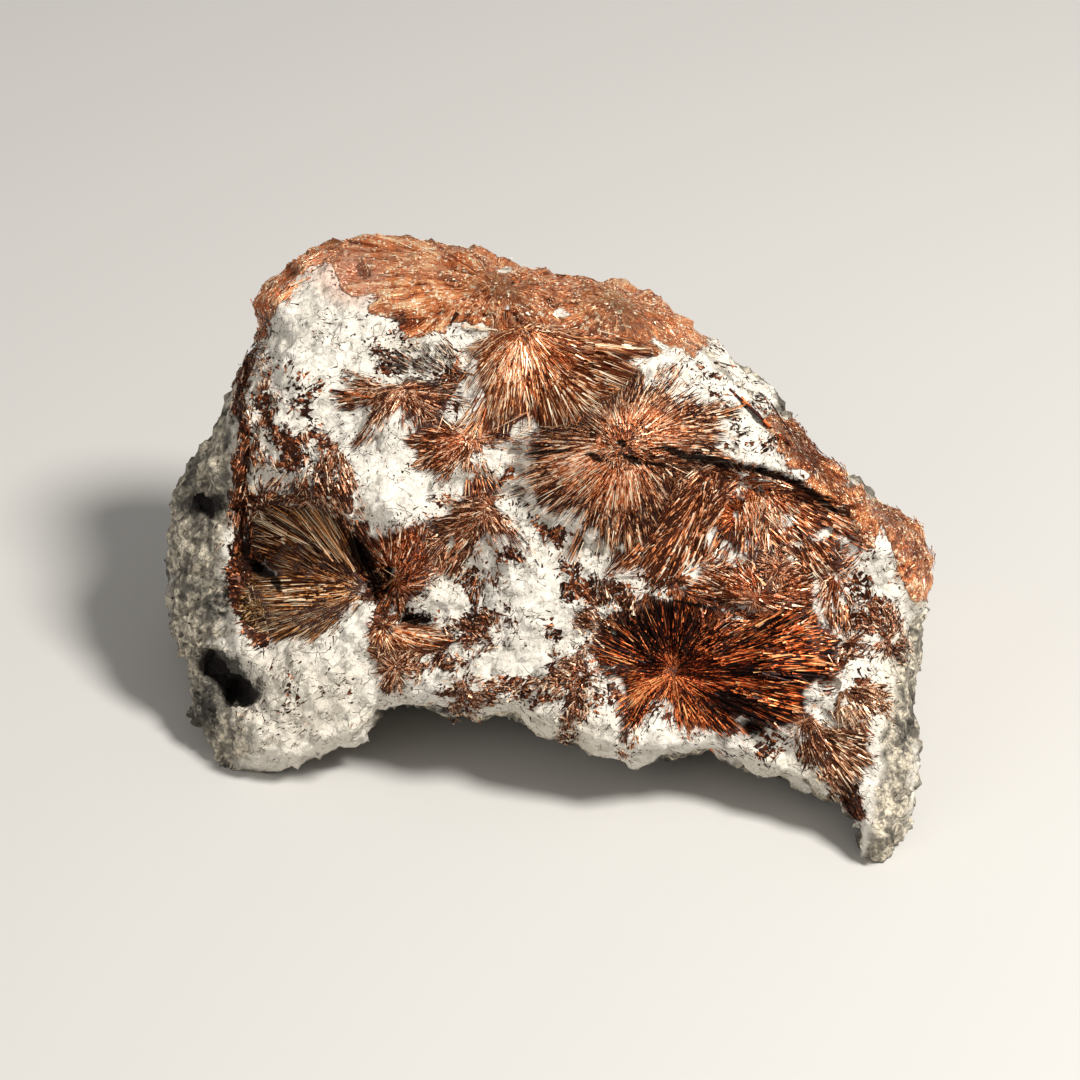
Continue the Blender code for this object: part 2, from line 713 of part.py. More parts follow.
def main():
    for obj in list(bpy.data.objects):
        bpy.data.objects.remove(obj)
    noise.seed_set(7)
    specimen = new_collection("astrophyllite_specimen")
    tools = new_collection("cutters")
    rock = make_rock(specimen, tools)
    rock = make_sprays(rock, specimen, tools)
    for cutter in tools.objects:
        cutter.hide_render = True
        cutter.display_type = "WIRE"
    albite = material("albite", ROCK_COLOUR, 0.8, 0.0)
    astrophyllite = material("astrophyllite", CRYSTAL_COLOUR, 0.35, 0.4)
    for obj in specimen.objects:
        obj.data.materials.clear()
        obj.data.materials.append(albite if obj == rock else astrophyllite)
    shift = centred_on_base(list(specimen.objects))
    print("moved by, mm:", [round(value / METRES, 3) for value in shift])
    return shift


OUTLINE_SAMPLES = outline_samples()
SHIFT = main()
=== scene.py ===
"""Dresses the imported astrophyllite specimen: albite rock, fans of bronze laths, loose flecks, floor, light.

Sizes are in metres. Places on the display face are picture points, in picture units to the right and down,
as the face is seen along the camera's line of sight.
"""

import math

import bmesh
import bpy
import numpy as np
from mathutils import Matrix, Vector, noise
from mathutils.bvhtree import BVHTree


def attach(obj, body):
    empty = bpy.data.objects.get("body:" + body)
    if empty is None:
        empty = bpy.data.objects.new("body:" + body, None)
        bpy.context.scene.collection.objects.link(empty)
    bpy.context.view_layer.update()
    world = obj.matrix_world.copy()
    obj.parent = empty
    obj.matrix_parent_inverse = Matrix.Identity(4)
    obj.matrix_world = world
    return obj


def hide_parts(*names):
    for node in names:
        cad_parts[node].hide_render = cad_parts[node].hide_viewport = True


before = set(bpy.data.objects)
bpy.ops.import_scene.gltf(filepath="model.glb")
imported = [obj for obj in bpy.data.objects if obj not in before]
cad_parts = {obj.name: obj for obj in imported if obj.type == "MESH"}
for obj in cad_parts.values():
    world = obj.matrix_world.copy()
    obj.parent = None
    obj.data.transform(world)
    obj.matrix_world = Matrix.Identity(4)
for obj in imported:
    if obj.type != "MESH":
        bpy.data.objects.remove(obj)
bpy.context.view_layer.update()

bl_info = {
    "name": "Astrophyllite specimen",
    "version": (1, 0, 0),
    "blender": (4, 5, 0),
    "location": "3D View > Sidebar > Specimen",
    "description": "Makes the rock, crystal sprays, loose flecks and stage of a mineral specimen",
    "category": "Object",
}

# How the display face is seen
MM = 0.001
LEAN_BACK = math.radians(35.0)
EYE_DISTANCE = 0.850
PICTURE_UNIT = 0.180 / 765
PICTURE_SIZE = 1080
PICTURE_MIDDLE = 540.0
FACE_MIDDLE = Vector((-0.001255, -0.002895, 0.048919))
TOWARDS_EYE = Vector((0, -math.cos(LEAN_BACK), math.sin(LEAN_BACK)))
FACE_UP = Vector((0, math.sin(LEAN_BACK), math.cos(LEAN_BACK)))
EYE = FACE_MIDDLE + TOWARDS_EYE * EYE_DISTANCE
SENSOR_MM = 36.0

ROCK_NODE = "albite_rock"
SPRAY_NODES = sorted(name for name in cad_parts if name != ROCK_NODE)

# How squarely the skin faces the eye: rounds of easing, and from where it counts as turned away
EASING_ROUNDS = 6
TURNED_AWAY = -0.1

# The skin's mesh and its relief, in metres
SAME_PLACE = 1e-6
SEAM_FILL = 0.0007
LUMP_SIZE = 0.011
CREASE_SIZE = 0.007
BLOCK_SIZE = 0.0075
GRAIN_SIZE = 0.0024
LARGE_FACET = 0.0052
SMALL_FACET = 0.0027
TINY_FACET = 0.0011
FLOW_HEIGHT = 0.0008

# The fans, in picture units
FAR_OUTSIDE = -9.0
HIDDEN_DEPTH = -30.0
FAN_MARGIN = 40.0
FINGER_REACH = 6.0
FINGER_FADE = 30
SEAM_REACH = 10.0
SEAM_RISE = 1.6
STRIP_WIDTH = 14.0
GROUND_MARGIN = 14
NEST_LEAD = 40.0
RIM_REACH = 40.0
CLEAR_LIMIT = 60
USUAL_RAGGEDNESS = 8.0
FREE_STEP = 3.0
FREE_STEPS = 24

# The laths and flecks, in metres
SOURCE_SINK = 0.002
SHORTEST_LATH = 0.0012
TUFT_SIZE = 0.0045
FLECK_THICKNESS = 0.00016
GLINT_LIFT = 0.0005
LONG_LATH_RISE = 0.0006
LONG_LATH_CORNERS = 8

# Other values of the laths: their usual width, layer on the crest, roll, seeds and gloss
USUAL_WIDTH_MM = 0.42
CREST_LAYER = 0.12
ROLL = 0.8
FIRST_SEED = 100
SEED_STEP = 37
FLECK_SEED = 7
LATH_METALLIC = 0.30
LATH_SPECULAR = 0.12

# Rays and streaks that run away from a source: how wide they are, as the size of noise over directions
RAY_SHIFT = 40.0
BROAD_RAYS = 0.10
FINE_RAYS = 0.028
STREAK_SPREAD = 0.016
BUNDLE_SPREAD = 0.070
FOLD_SPREAD = 0.200

# The middle of a colour that noise gives
HALF = (0.5, 0.5, 0.5)

# The lights: place, size and tint
KEY_LIGHT = ((0.60, -0.34, 1.05), 0.30, (1.0, 0.97, 0.92))
FILL_LIGHT = ((-0.9, -0.7, 0.6), 0.9, (1.0, 0.98, 0.95))
LIT_POINT = (0, 0, 0.04)
FLOOR_RADIUS = 3.0

# Colours of the rock, its stains, its film, and its painted shadows and glints, beyond those in its settings
DULL_MOTTLE = (0.62, 0.58, 0.49)
DULL_FLAKE = (0.60, 0.55, 0.45)
CRACK_BROWN = (0.30, 0.23, 0.16)
PIT_BROWN = (0.24, 0.15, 0.10)
PALE_WEATHERED = (0.84, 0.74, 0.57)
SMUDGE = (0.040, 0.035, 0.028)
STAIN_STREAKS = (0.13, 0.036, 0.013)
FILM_SHADOW = (0.05, 0.012, 0.005)
FILM_BROWN = (0.24, 0.052, 0.017)
FILM_BRONZE = (0.74, 0.235, 0.076)
FILM_ROSY = (0.66, 0.33, 0.19)
FILM_GOLD = (1.0, 0.60, 0.32)
FILM_PAINTED_GLINT = (1.0, 0.86, 0.62)
PAINTED_SHADOW_BLACK = (0.022, 0.018, 0.015)
BLUSH_PINK = (0.76, 0.43, 0.30)
HOLLOW_PAINTED_SHADE = (0.014, 0.009, 0.007)
PAINTED_GAP_BLACK = (0.008, 0.003, 0.002)

# White rock that shows inside the sprays: (across, down, half width, half height, turn in degrees)
WHITE_PATCHES = [
    (705, 542, 8, 14, 10),
    (722, 551, 8, 9, -20),
    (748, 547, 5, 4, 0),
    (790, 526, 10, 10, 30),
    (803, 552, 12, 10, -10),
    (826, 537, 17, 6, -28),
    (850, 546, 6, 9, 20),
    (745, 487, 11, 8, 20),
    (763, 486, 6, 6, 0),
    (741, 472, 9, 4, 15),
    (690, 575, 8, 12, 30),
    (660, 590, 12, 5, 0),
    (662, 572, 6, 6, 0),
    (742, 612, 14, 7, 15),
    (662, 722, 17, 17, 10),
    (690, 741, 16, 6, 4),
    (700, 735, 9, 5, 0),
    (821, 600, 6, 20, -12),
    (844, 600, 5, 14, -10),
    (864, 570, 10, 16, 10),
    (880, 592, 16, 9, 0),
    (882, 555, 5, 22, 4),
    (862, 612, 10, 10, 0),
    (866, 641, 8, 3, 0),
    (490, 341, 13, 6, -10),
    (506, 307, 5, 4, 0),
    (562, 312, 11, 8, 10),
    (505, 270, 8, 4, 0),
    (395, 421, 6, 12, 15),
    (410, 428, 4, 9, 30),
    (497, 458, 12, 16, 10),
    (475, 462, 12, 6, 10),
    (460, 487, 14, 8, -10),
    (447, 545, 7, 7, 0),
    (530, 690, 6, 4, 0),
    (600, 702, 14, 12, -50),
    (566, 690, 9, 4, -20),
    (612, 690, 9, 12, 0),
    (432, 335, 9, 6, 10),
    (445, 375, 7, 12, 0),
    (455, 415, 12, 6, 0),
    (338, 478, 7, 12, 0),
    (283, 490, 14, 8, 0),
    (610, 630, 6, 4, 40),
    (790, 738, 12, 9, 0),
    (822, 697, 14, 12, -40),
    (862, 705, 7, 10, 0),
    (760, 440, 16, 16, 0),
    (776, 446, 5, 10, 10),
    (737, 420, 9, 4, 0),
    (852, 482, 10, 7, 45),
    (868, 494, 12, 4, 35),
    (803, 474, 8, 4, 35),
]

# Fans of laths. Each: piece, mood, crowding, solidity, length and width of its laths in mm, raggedness in
# picture units, the point that its laths spread from, and its outline.
FANS = [
    ("spray_centre", "bronze", 0.85, 1.0, 8.0, 0.25, 13, (624, 447), [
        (640, 374), (652, 386), (664, 368), (682, 368), (677, 390), (697, 382), (719, 400), (708, 409),
        (743, 407), (722, 428), (742, 434), (722, 445), (735, 462), (700, 462), (690, 480), (668, 505),
        (655, 530), (640, 552), (618, 560), (606, 566), (590, 545), (566, 570), (556, 556), (572, 530),
        (548, 530), (528, 512), (512, 498), (504, 484), (514, 468), (508, 455), (503, 440), (530, 431),
        (560, 427), (588, 412), (606, 394), (630, 384)]),
    ("spray_upper", "golden", 0.8, 1.0, 7.0, 0.26, 10, (522, 333), [
        (522, 322), (545, 328), (575, 336), (600, 343), (640, 348), (655, 352), (648, 361), (625, 356),
        (640, 371), (630, 384), (606, 394), (588, 412), (560, 426), (530, 431), (500, 432), (480, 436),
        (458, 428), (466, 410), (474, 402), (464, 392), (470, 380), (458, 372), (470, 360), (464, 352),
        (490, 343), (508, 334)]),
    ("spray_lower_right", "dark", 0.85, 1.0, 9.0, 0.27, 11, (672, 672), [
        (596, 640), (605, 620), (630, 604), (650, 593), (690, 592), (720, 600), (735, 612), (760, 618),
        (780, 632), (810, 650), (842, 662), (838, 680), (815, 698), (805, 714), (790, 726), (766, 734),
        (745, 740), (730, 756), (718, 736), (700, 734), (688, 738), (676, 722), (664, 704), (650, 702),
        (640, 710), (632, 742), (626, 748), (622, 715), (616, 702), (620, 690), (604, 682), (592, 668),
        (590, 652)]),
    ("spray_crest", "crest", 0.035, 1.0, 2.4, 0.24, 7, (500, 288), [
        (500, 254), (520, 258), (548, 259), (578, 274), (585, 286), (575, 298), (556, 306), (560, 322),
        (540, 330), (522, 322), (508, 334), (480, 328), (460, 322), (440, 330), (425, 336), (405, 330),
        (390, 320), (368, 314), (362, 303), (374, 296), (352, 298), (340, 290), (334, 268), (338, 252),
        (346, 238), (372, 230), (405, 227), (436, 231), (462, 237), (482, 239)]),
    ("spray_crest_right", "crest", 0.035, 1.0, 2.2, 0.26, 7, (618, 306), [
        (578, 270), (600, 267), (630, 277), (655, 293), (673, 302), (686, 322), (690, 345), (670, 348),
        (655, 334), (644, 340), (655, 352), (640, 348), (600, 343), (575, 336), (555, 330), (556, 304),
        (575, 297), (585, 286)]),
    ("spray_brow_left", "crest", 0.05, 1.0, 1.8, 0.26, 7, (352, 244), [
        (345, 235), (322, 242), (300, 250), (282, 263), (268, 279), (247, 294), (242, 312), (252, 328),
        (262, 337), (272, 324), (268, 308), (284, 300), (292, 292), (288, 284), (302, 274), (314, 264),
        (326, 258), (340, 258), (346, 246)]),
    ("spray_dark_needles", "grey", 0.3, 0.38, 2.6, 0.24, 12, (480, 392), [
        (398, 347), (420, 339), (440, 334), (458, 345), (452, 362), (462, 375), (450, 392), (425, 388),
        (405, 374), (390, 360)]),
    ("spray_white_face", "umber", 0.7, 1.0, 4.6, 0.27, 10, (404, 393), [
        (328, 390), (345, 386), (340, 376), (362, 384), (382, 391), (402, 384), (425, 374), (450, 378),
        (466, 392), (470, 404), (445, 414), (432, 430), (416, 442), (400, 434), (388, 430), (380, 442),
        (372, 452), (354, 448), (364, 430), (374, 412), (355, 404), (342, 408)]),
    ("spray_middle_left", "matted", 0.7, 1.0, 4.2, 0.27, 9, (470, 440), [
        (400, 438), (414, 424), (440, 424), (458, 428), (480, 436), (500, 432), (512, 436), (505, 448),
        (485, 446), (480, 456), (462, 462), (488, 474), (500, 490), (488, 502), (468, 498), (478, 482),
        (455, 470), (442, 482), (432, 478), (416, 470), (420, 454), (408, 448)]),
    ("spray_middle", "umber", 0.7, 1.0, 4.6, 0.27, 10, (490, 508), [
        (438, 500), (462, 502), (478, 498), (484, 484), (494, 486), (498, 502), (512, 518), (522, 534),
        (534, 550), (530, 564), (514, 556), (500, 548), (484, 542), (474, 552), (466, 566), (450, 572),
        (436, 562), (428, 548), (436, 530), (430, 520), (446, 512)]),
    ("spray_mound", "russet", 0.8, 1.0, 3.4, 0.32, 8, (400, 575), [
        (360, 552), (370, 535), (392, 529), (408, 520), (426, 525), (436, 542), (432, 562), (438, 575),
        (422, 592), (410, 604), (390, 608), (378, 596), (370, 580)]),
    ("spray_pocket", "coarse", 0.55, 1.0, 15.0, 0.28, 12, (368, 592), [
        (250, 512), (258, 502), (292, 508), (306, 504), (325, 518), (345, 532), (360, 560), (370, 588),
        (354, 608), (340, 624), (330, 638), (300, 642), (270, 642), (258, 628), (244, 612), (240, 592),
        (246, 578), (262, 566), (250, 545), (246, 526)]),
    ("spray_pocket_brow", "umber", 0.9, 0.8, 3.4, 0.26, 9, (336, 438), [
        (318, 472), (330, 462), (352, 474), (360, 500), (364, 530), (368, 558), (352, 540), (340, 526),
        (325, 510), (306, 502), (285, 504), (262, 498), (272, 488), (300, 494), (326, 498), (330, 484)]),
    ("spray_low_left", "golden", 0.5, 1.0, 4.4, 0.26, 9, (384, 630), [
        (372, 640), (384, 624), (400, 618), (430, 626), (452, 632), (460, 642), (440, 652), (426, 656),
        (404, 654), (384, 652), (374, 650)]),
    ("mat_low_rosette", "umber", 0.6, 1.0, 2.6, 0.24, 9, (398, 664), [
        (374, 650), (386, 650), (404, 652), (424, 656), (420, 674), (406, 676), (402, 692), (388, 694),
        (378, 682), (372, 666)]),
    ("mat_pocket_knob", "honey", 0.6, 1.0, 1.6, 0.26, 7, (262, 603), [
        (248, 592), (262, 584), (276, 592), (281, 606), (275, 622), (262, 628), (250, 620), (244, 606)]),
    ("spray_arch_left", "clump", 0.6, 0.62, 1.7, 0.42, 9, (462, 690), [
        (450, 690), (460, 677), (478, 680), (481, 692), (500, 684), (518, 690), (500, 700), (485, 707),
        (470, 714), (453, 705)]),
    ("spray_arch", "clump", 0.6, 0.72, 1.9, 0.42, 11, (586, 672), [
        (516, 692), (535, 680), (548, 684), (554, 668), (568, 655), (586, 648), (602, 655), (606, 675),
        (598, 690), (592, 704), (582, 718), (574, 736), (560, 738), (566, 720), (566, 706), (548, 700),
        (528, 701)]),
    ("spray_under_ledge", "matted", 0.75, 1.0, 4.6, 0.32, 8, (745, 478), [
        (735, 462), (775, 472), (800, 484), (822, 500), (846, 508), (862, 524), (866, 545), (850, 562),
        (846, 580), (820, 574), (800, 564), (778, 560), (756, 553), (738, 556), (726, 566), (712, 560),
        (700, 540), (704, 510), (716, 486), (706, 470)]),
    ("spray_right", "russet", 0.75, 1.0, 4.6, 0.34, 9, (757, 596), [
        (700, 566), (722, 564), (738, 556), (756, 553), (778, 560), (800, 564), (820, 574), (816, 592),
        (804, 608), (776, 612), (762, 620), (742, 612), (720, 600), (696, 594), (686, 584), (702, 580)]),
    ("spray_right_edge", "clump", 0.55, 0.6, 2.4, 0.36, 9, (884, 640), [
        (856, 606), (876, 600), (896, 606), (902, 625), (908, 645), (902, 664), (880, 656), (862, 652),
        (842, 664), (836, 650), (850, 636), (852, 622)]),
    ("spray_shoulder", "sheen", 0.05, 1.0, 1.7, 0.22, 8, (882, 506), [
        (846, 508), (862, 500), (890, 506), (904, 512), (922, 522), (932, 548), (928, 575), (916, 606),
        (906, 592), (898, 577), (890, 550), (882, 530), (876, 545), (866, 548), (856, 530)]),
    ("spray_ridge", "sheen", 0.07, 1.0, 2.1, 0.22, 7, (770, 412), [
        (768, 424), (792, 416), (808, 430), (824, 452), (842, 474), (848, 490), (864, 500), (846, 509),
        (826, 497), (806, 479), (786, 466), (778, 450)]),
    ("spray_leg", "tan", 0.6, 0.95, 4.4, 0.34, 9, (806, 722), [
        (788, 728), (800, 716), (818, 726), (845, 732), (868, 738), (874, 762), (862, 782), (852, 802),
        (840, 800), (832, 780), (815, 770), (798, 754)]),
    ("spray_leg_top", "tan", 0.45, 0.7, 4.2, 0.40, 5, (846, 694), [
        (834, 714), (845, 696), (858, 712), (872, 690), (890, 688), (898, 705), (892, 718), (874, 708),
        (868, 730), (850, 738), (836, 730)]),
    ("mat_below_ledge", "matted", 0.75, 1.0, 5.4, 0.32, 11, (722, 458), [
        (690, 480), (704, 462), (720, 466), (716, 486), (704, 510), (700, 540), (694, 562), (676, 574),
        (650, 578), (634, 570), (604, 576), (618, 560), (640, 552), (655, 530), (668, 505)]),
    ("nest_dark", "dark", 0.8, 1.0, 3.0, 0.26, 5, (738, 514), [
        (714, 502), (738, 490), (752, 498), (754, 520), (742, 536), (724, 540), (712, 524)]),
    ("nest_amber", "golden", 0.7, 1.0, 3.4, 0.26, 8, (766, 490), [
        (754, 502), (766, 496), (780, 502), (786, 520), (782, 542), (768, 550), (756, 542), (752, 520)]),
    ("nest_brown", "umber", 0.8, 1.0, 2.2, 0.24, 8, (778, 568), [
        (758, 554), (775, 548), (794, 554), (804, 568), (798, 584), (780, 592), (762, 584), (754, 570)]),
    ("nest_edge", "russet", 0.7, 1.0, 3.2, 0.26, 8, (866, 552), [
        (834, 548), (846, 540), (860, 542), (868, 552), (862, 566), (846, 572), (836, 564)]),
    ("mat_under_mound", "clump", 0.5, 0.5, 1.8, 0.38, 10, (486, 530), [
        (452, 562), (474, 552), (492, 548), (500, 562), (492, 590), (478, 604), (464, 584), (456, 576)]),
    ("mat_low_middle", "clump", 0.5, 0.45, 2.0, 0.38, 8, (500, 640), [
        (452, 626), (480, 616), (502, 626), (498, 645), (470, 652), (452, 646)]),
    ("mat_low_left_edge", "clump", 0.5, 0.55, 1.8, 0.4, 7, (400, 690), [
        (420, 655), (456, 650), (466, 660), (440, 668), (424, 672)]),
    ("mat_right_streaks", "matted", 0.5, 0.7, 4.0, 0.32, 8, (832, 572), [
        (822, 574), (846, 580), (852, 604), (856, 628), (850, 640), (834, 628), (820, 606)]),
    ("mat_dark_right", "dark", 0.6, 1.0, 5.0, 0.34, 8, (700, 664), [
        (742, 614), (762, 620), (776, 612), (804, 608), (820, 614), (842, 650), (842, 664), (810, 652),
        (780, 634), (760, 620)]),
    ("mat_left_of_sun", "clump", 0.6, 0.55, 2.4, 0.36, 10, (620, 640), [
        (574, 612), (590, 600), (600, 592), (592, 580), (606, 576), (640, 590), (650, 592), (630, 604),
        (605, 620), (594, 634), (580, 626)]),
    ("mat_left_rim", "umber", 0.8, 0.34, 2.4, 0.26, 10, (262, 400), [
        (240, 440), (256, 436), (262, 462), (254, 485), (262, 500), (250, 512), (246, 535), (234, 540),
        (228, 515), (238, 490), (240, 460)]),
    ("mat_left_ridge", "clump", 0.8, 0.10, 1.8, 0.26, 12, (250, 330), [
        (246, 346), (262, 340), (266, 362), (280, 392), (304, 420), (298, 440), (320, 466), (296, 482),
        (270, 462), (252, 436), (236, 404), (240, 372)]),
    ("mat_arch_tip", "clump", 0.5, 0.6, 2.2, 0.4, 6, (630, 700), [
        (620, 716), (634, 708), (640, 720), (634, 745), (624, 756), (624, 738)]),
]

# Flecks strewn on the white rock: (across, down, half width, half height, turn, crowding)
FLECK_DRIFTS = [
    (548, 545, 40, 45, -35, 0.9),
    (580, 590, 30, 32, 0, 0.8),
    (545, 632, 12, 34, -12, 0.8),
    (512, 560, 30, 46, 0, 0.9),
    (552, 650, 16, 50, -10, 0.9),
    (520, 690, 60, 14, 0, 0.8),
    (455, 700, 50, 12, 0, 0.7),
    (520, 500, 26, 40, 0, 0.8),
    (590, 660, 26, 34, 0, 0.7),
    (275, 400, 36, 80, -22, 0.45),
    (300, 455, 40, 26, 0, 1.0),
    (300, 385, 30, 30, 0, 0.35),
    (318, 345, 50, 40, 0, 0.25),
    (445, 390, 40, 30, 0, 0.5),
    (385, 355, 34, 28, 30, 0.45),
    (480, 605, 44, 50, 0, 0.8),
    (420, 610, 50, 20, 0, 0.35),
    (660, 580, 44, 16, 0, 0.8),
    (735, 560, 60, 60, 0, 0.6),
    (820, 560, 50, 50, 0, 0.5),
    (872, 600, 40, 70, 0, 0.5),
    (870, 700, 24, 40, 0, 0.6),
    (745, 420, 50, 60, -40, 0.35),
    (700, 350, 50, 30, 30, 0.2),
    (500, 520, 44, 20, 30, 0.5),
    (600, 700, 90, 40, 5, 0.35),
    (790, 755, 60, 24, 15, 0.35),
    (300, 690, 100, 60, 0, 0.14),
    (430, 480, 80, 50, 0, 0.16),
    (245, 560, 16, 70, 0, 0.7),
]

# Partly the sprays' own tone, partly painted highlights and painted shade
# Lighter and darker parts of the sprays: (across, down, half width, half height, turn, lightening)
PAINTED_LIGHT_AND_TONE = [
    (515, 385, 34, 44, 20, 0.34),
    (575, 398, 34, 10, 30, 0.20),
    (545, 395, 16, 40, 0, -0.30),
    (590, 372, 34, 14, 30, -0.30),
    (520, 428, 30, 10, 0, -0.35),
    (560, 470, 40, 22, -25, 0.16),
    (540, 470, 40, 36, 0, 0.16),
    (520, 470, 22, 50, 0, 0.14),
    (632, 490, 26, 22, 0, 0.26),
    (655, 440, 40, 14, 0, 0.10),
    (700, 405, 26, 18, -30, -0.30),
    (600, 520, 46, 36, -45, 0.10),
    (650, 540, 30, 24, -40, -0.20),
    (600, 412, 40, 14, -10, 0.20),
    (672, 648, 24, 26, 0, 0.62),
    (700, 700, 30, 14, 20, 0.25),
    (668, 676, 16, 10, 0, 0.20),
    (720, 650, 40, 20, 20, -0.10),
    (690, 725, 40, 18, 10, 0.20),
    (665, 626, 76, 44, 0, -0.50),
    (740, 680, 90, 46, 10, -0.26),
    (620, 650, 26, 26, 0, -0.35),
    (760, 664, 60, 10, 5, -0.15),
    (720, 690, 46, 10, 12, 0.20),
    (760, 720, 44, 16, 20, -0.30),
    (630, 715, 16, 34, 0, 0.30),
    (735, 472, 90, 8, 20, -0.30),
    (815, 492, 36, 8, 35, -0.40),
    (770, 520, 14, 26, 0, 0.25),
    (826, 480, 14, 20, -30, 0.25),
    (910, 550, 14, 40, 10, 0.22),
    (440, 310, 60, 14, 10, 0.22),
    (380, 250, 40, 12, 0, 0.20),
    (480, 318, 30, 10, 8, -0.25),
    (600, 330, 40, 14, 14, -0.25),
    (400, 320, 40, 9, 12, -0.30),
    (600, 295, 40, 14, 20, 0.20),
    (300, 612, 60, 12, -8, 0.30),
    (300, 575, 60, 70, -20, -0.16),
    (342, 545, 30, 34, -40, -0.50),
    (290, 618, 44, 16, 0, 0.34),
    (300, 590, 40, 8, -5, -0.30),
    (305, 560, 44, 7, 20, -0.30),
    (380, 575, 14, 26, 0, -0.45),
    (262, 603, 20, 22, 0, 0.15),
    (400, 636, 40, 9, 5, 0.35),
    (400, 670, 26, 20, 0, 0.15),
    (430, 385, 30, 10, 0, -0.30),
    (355, 392, 30, 14, 0, 0.15),
    (850, 722, 14, 16, 0, 0.35),
    (820, 752, 34, 26, 30, -0.50),
    (410, 560, 30, 44, 0, -0.18),
    (420, 280, 90, 50, 10, 0.14),
    (620, 300, 70, 40, 15, 0.08),
    (808, 455, 60, 24, 42, -0.85),
    (905, 545, 26, 50, -30, -0.60),
    (432, 248, 20, 11, 5, 0.60),
    (352, 286, 26, 26, 0, -0.35),
    (290, 275, 44, 16, -35, -0.30),
    (262, 320, 14, 18, 0, -0.50),
    (500, 292, 30, 12, 0, -0.40),
    (640, 322, 40, 10, 20, -0.50),
]

# Rims where the laths stand apart with rock between: (across, down, half width, half height, turn, openness)
OPEN_RIMS = [
    (520, 470, 36, 60, 10, 1.0),
    (566, 528, 60, 44, -35, 1.0),
    (700, 388, 40, 30, -35, 0.8),
    (730, 428, 26, 30, 0, 0.7),
    (664, 378, 22, 22, 0, 0.8),
    (466, 396, 22, 44, 0, 0.8),
    (600, 560, 40, 26, -10, 0.7),
    (600, 672, 20, 30, 0, 0.6),
    (636, 728, 30, 30, 0, 0.5),
    (735, 750, 40, 20, 20, 0.5),
    (400, 432, 60, 26, 0, 0.5),
    (510, 550, 34, 26, 30, 0.7),
    (730, 552, 34, 26, 0, 0.6),
    (850, 560, 30, 40, 0, 0.6),
    (480, 575, 30, 40, 0, 0.6),
]

# Painted shadow in holes, in gaps between the laths and under the ledge: (across, down, half width, half
# height, turn)
PAINTED_GAP_SHADOWS = [
    (622, 443, 5, 4, 20),
    (595, 457, 10, 4, 22),
    (632, 459, 12, 4, 24),
    (655, 464, 18, 2, 8),
    (676, 452, 20, 4, 24),
    (715, 461, 34, 4.5, 14),
    (765, 473, 34, 4, 16),
    (815, 496, 34, 3.5, 36),
    (545, 452, 34, 2, -4),
    (258, 568, 17, 6, 40),
    (276, 582, 10, 5, 60),
    (246, 545, 5, 20, 0),
    (362, 556, 10, 24, -30),
    (374, 582, 9, 12, 0),
    (416, 620, 18, 6, 8),
    (700, 606, 30, 2, 12),
]

# Duller, beige rock: (across, down, half width, half height, turn, share)
BEIGE_GROUND = [
    (290, 700, 110, 70, 0, 0.8),
    (240, 420, 34, 90, -12, 0.6),
    (560, 730, 110, 30, 8, 0.7),
    (790, 765, 60, 24, 15, 0.7),
    (895, 700, 26, 120, 0, 0.8),
    (400, 345, 44, 26, 0, 0.4),
    (310, 310, 26, 24, 0, 0.4),
    (440, 560, 30, 60, 0, 0.3),
]

# Long single laths: (start, end, width in mm, shade); shades above 1 give painted glints
LONG_LATHS = [
    ((729, 389), (790, 445), 0.7, 0.22),
    ((741, 397), (768, 424), 0.55, 0.62),
    ((716, 362), (737, 367), 0.5, 0.20),
    ((757, 412), (779, 440), 0.5, 0.35),
    ((770, 402), (792, 436), 0.45, 0.15),
    ((290, 286), (311, 277), 0.5, 0.90),
    ((463, 326), (512, 332), 0.6, 1.30),
    ((250, 506), (252, 486), 1.2, 1.30),
    ((262, 512), (268, 530), 1.4, 1.20),
    ((282, 542), (292, 534), 1.6, 1.30),
    ((330, 390), (372, 398), 0.5, 0.40),
    ((395, 350), (412, 362), 0.5, 0.15),
    ((372, 356), (380, 346), 0.5, 0.10),
    ((456, 258), (464, 242), 1.4, 1.40),
    ((464, 241), (485, 247), 1.0, 1.35),
    ((412, 634), (452, 641), 0.6, 0.85),
    ((396, 631), (432, 636), 0.5, 0.70),
    ((404, 641), (440, 647), 0.4, 1.00),
    ((512, 283), (566, 275), 0.5, 0.10),
]

# Bronze films on the rock beyond the sprays: (half width, points along the middle)
BRONZE_BANDS = [
    (22, [(252, 312), (262, 288), (284, 268), (312, 250), (345, 238), (400, 230)]),
    (26, [(345, 236), (400, 238), (440, 244), (490, 256), (560, 276), (600, 280), (645, 300), (690, 336)]),
    (16, [(776, 424), (800, 438), (826, 462), (846, 488), (868, 503)]),
    (16, [(862, 506), (900, 515), (924, 540), (924, 590)]),
]

# Brown, broken ground with loose laths: (half width, points along the middle)
BROWN_BANDS = [
    (8, [(244, 360), (236, 400), (246, 440), (238, 480), (242, 520), (236, 580)]),
    (7, [(262, 500), (300, 498), (332, 486)]),
    (8, [(364, 548), (378, 575), (372, 596)]),
    (8, [(252, 498), (248, 530), (250, 556), (254, 575), (242, 592)]),
    (7, [(236, 578), (238, 604), (246, 628), (262, 640)]),
    (7, [(384, 600), (378, 625), (376, 650)]),
    (8, [(836, 752), (846, 780), (854, 815)]),
    (5, [(628, 600), (622, 590), (612, 584)]),
]

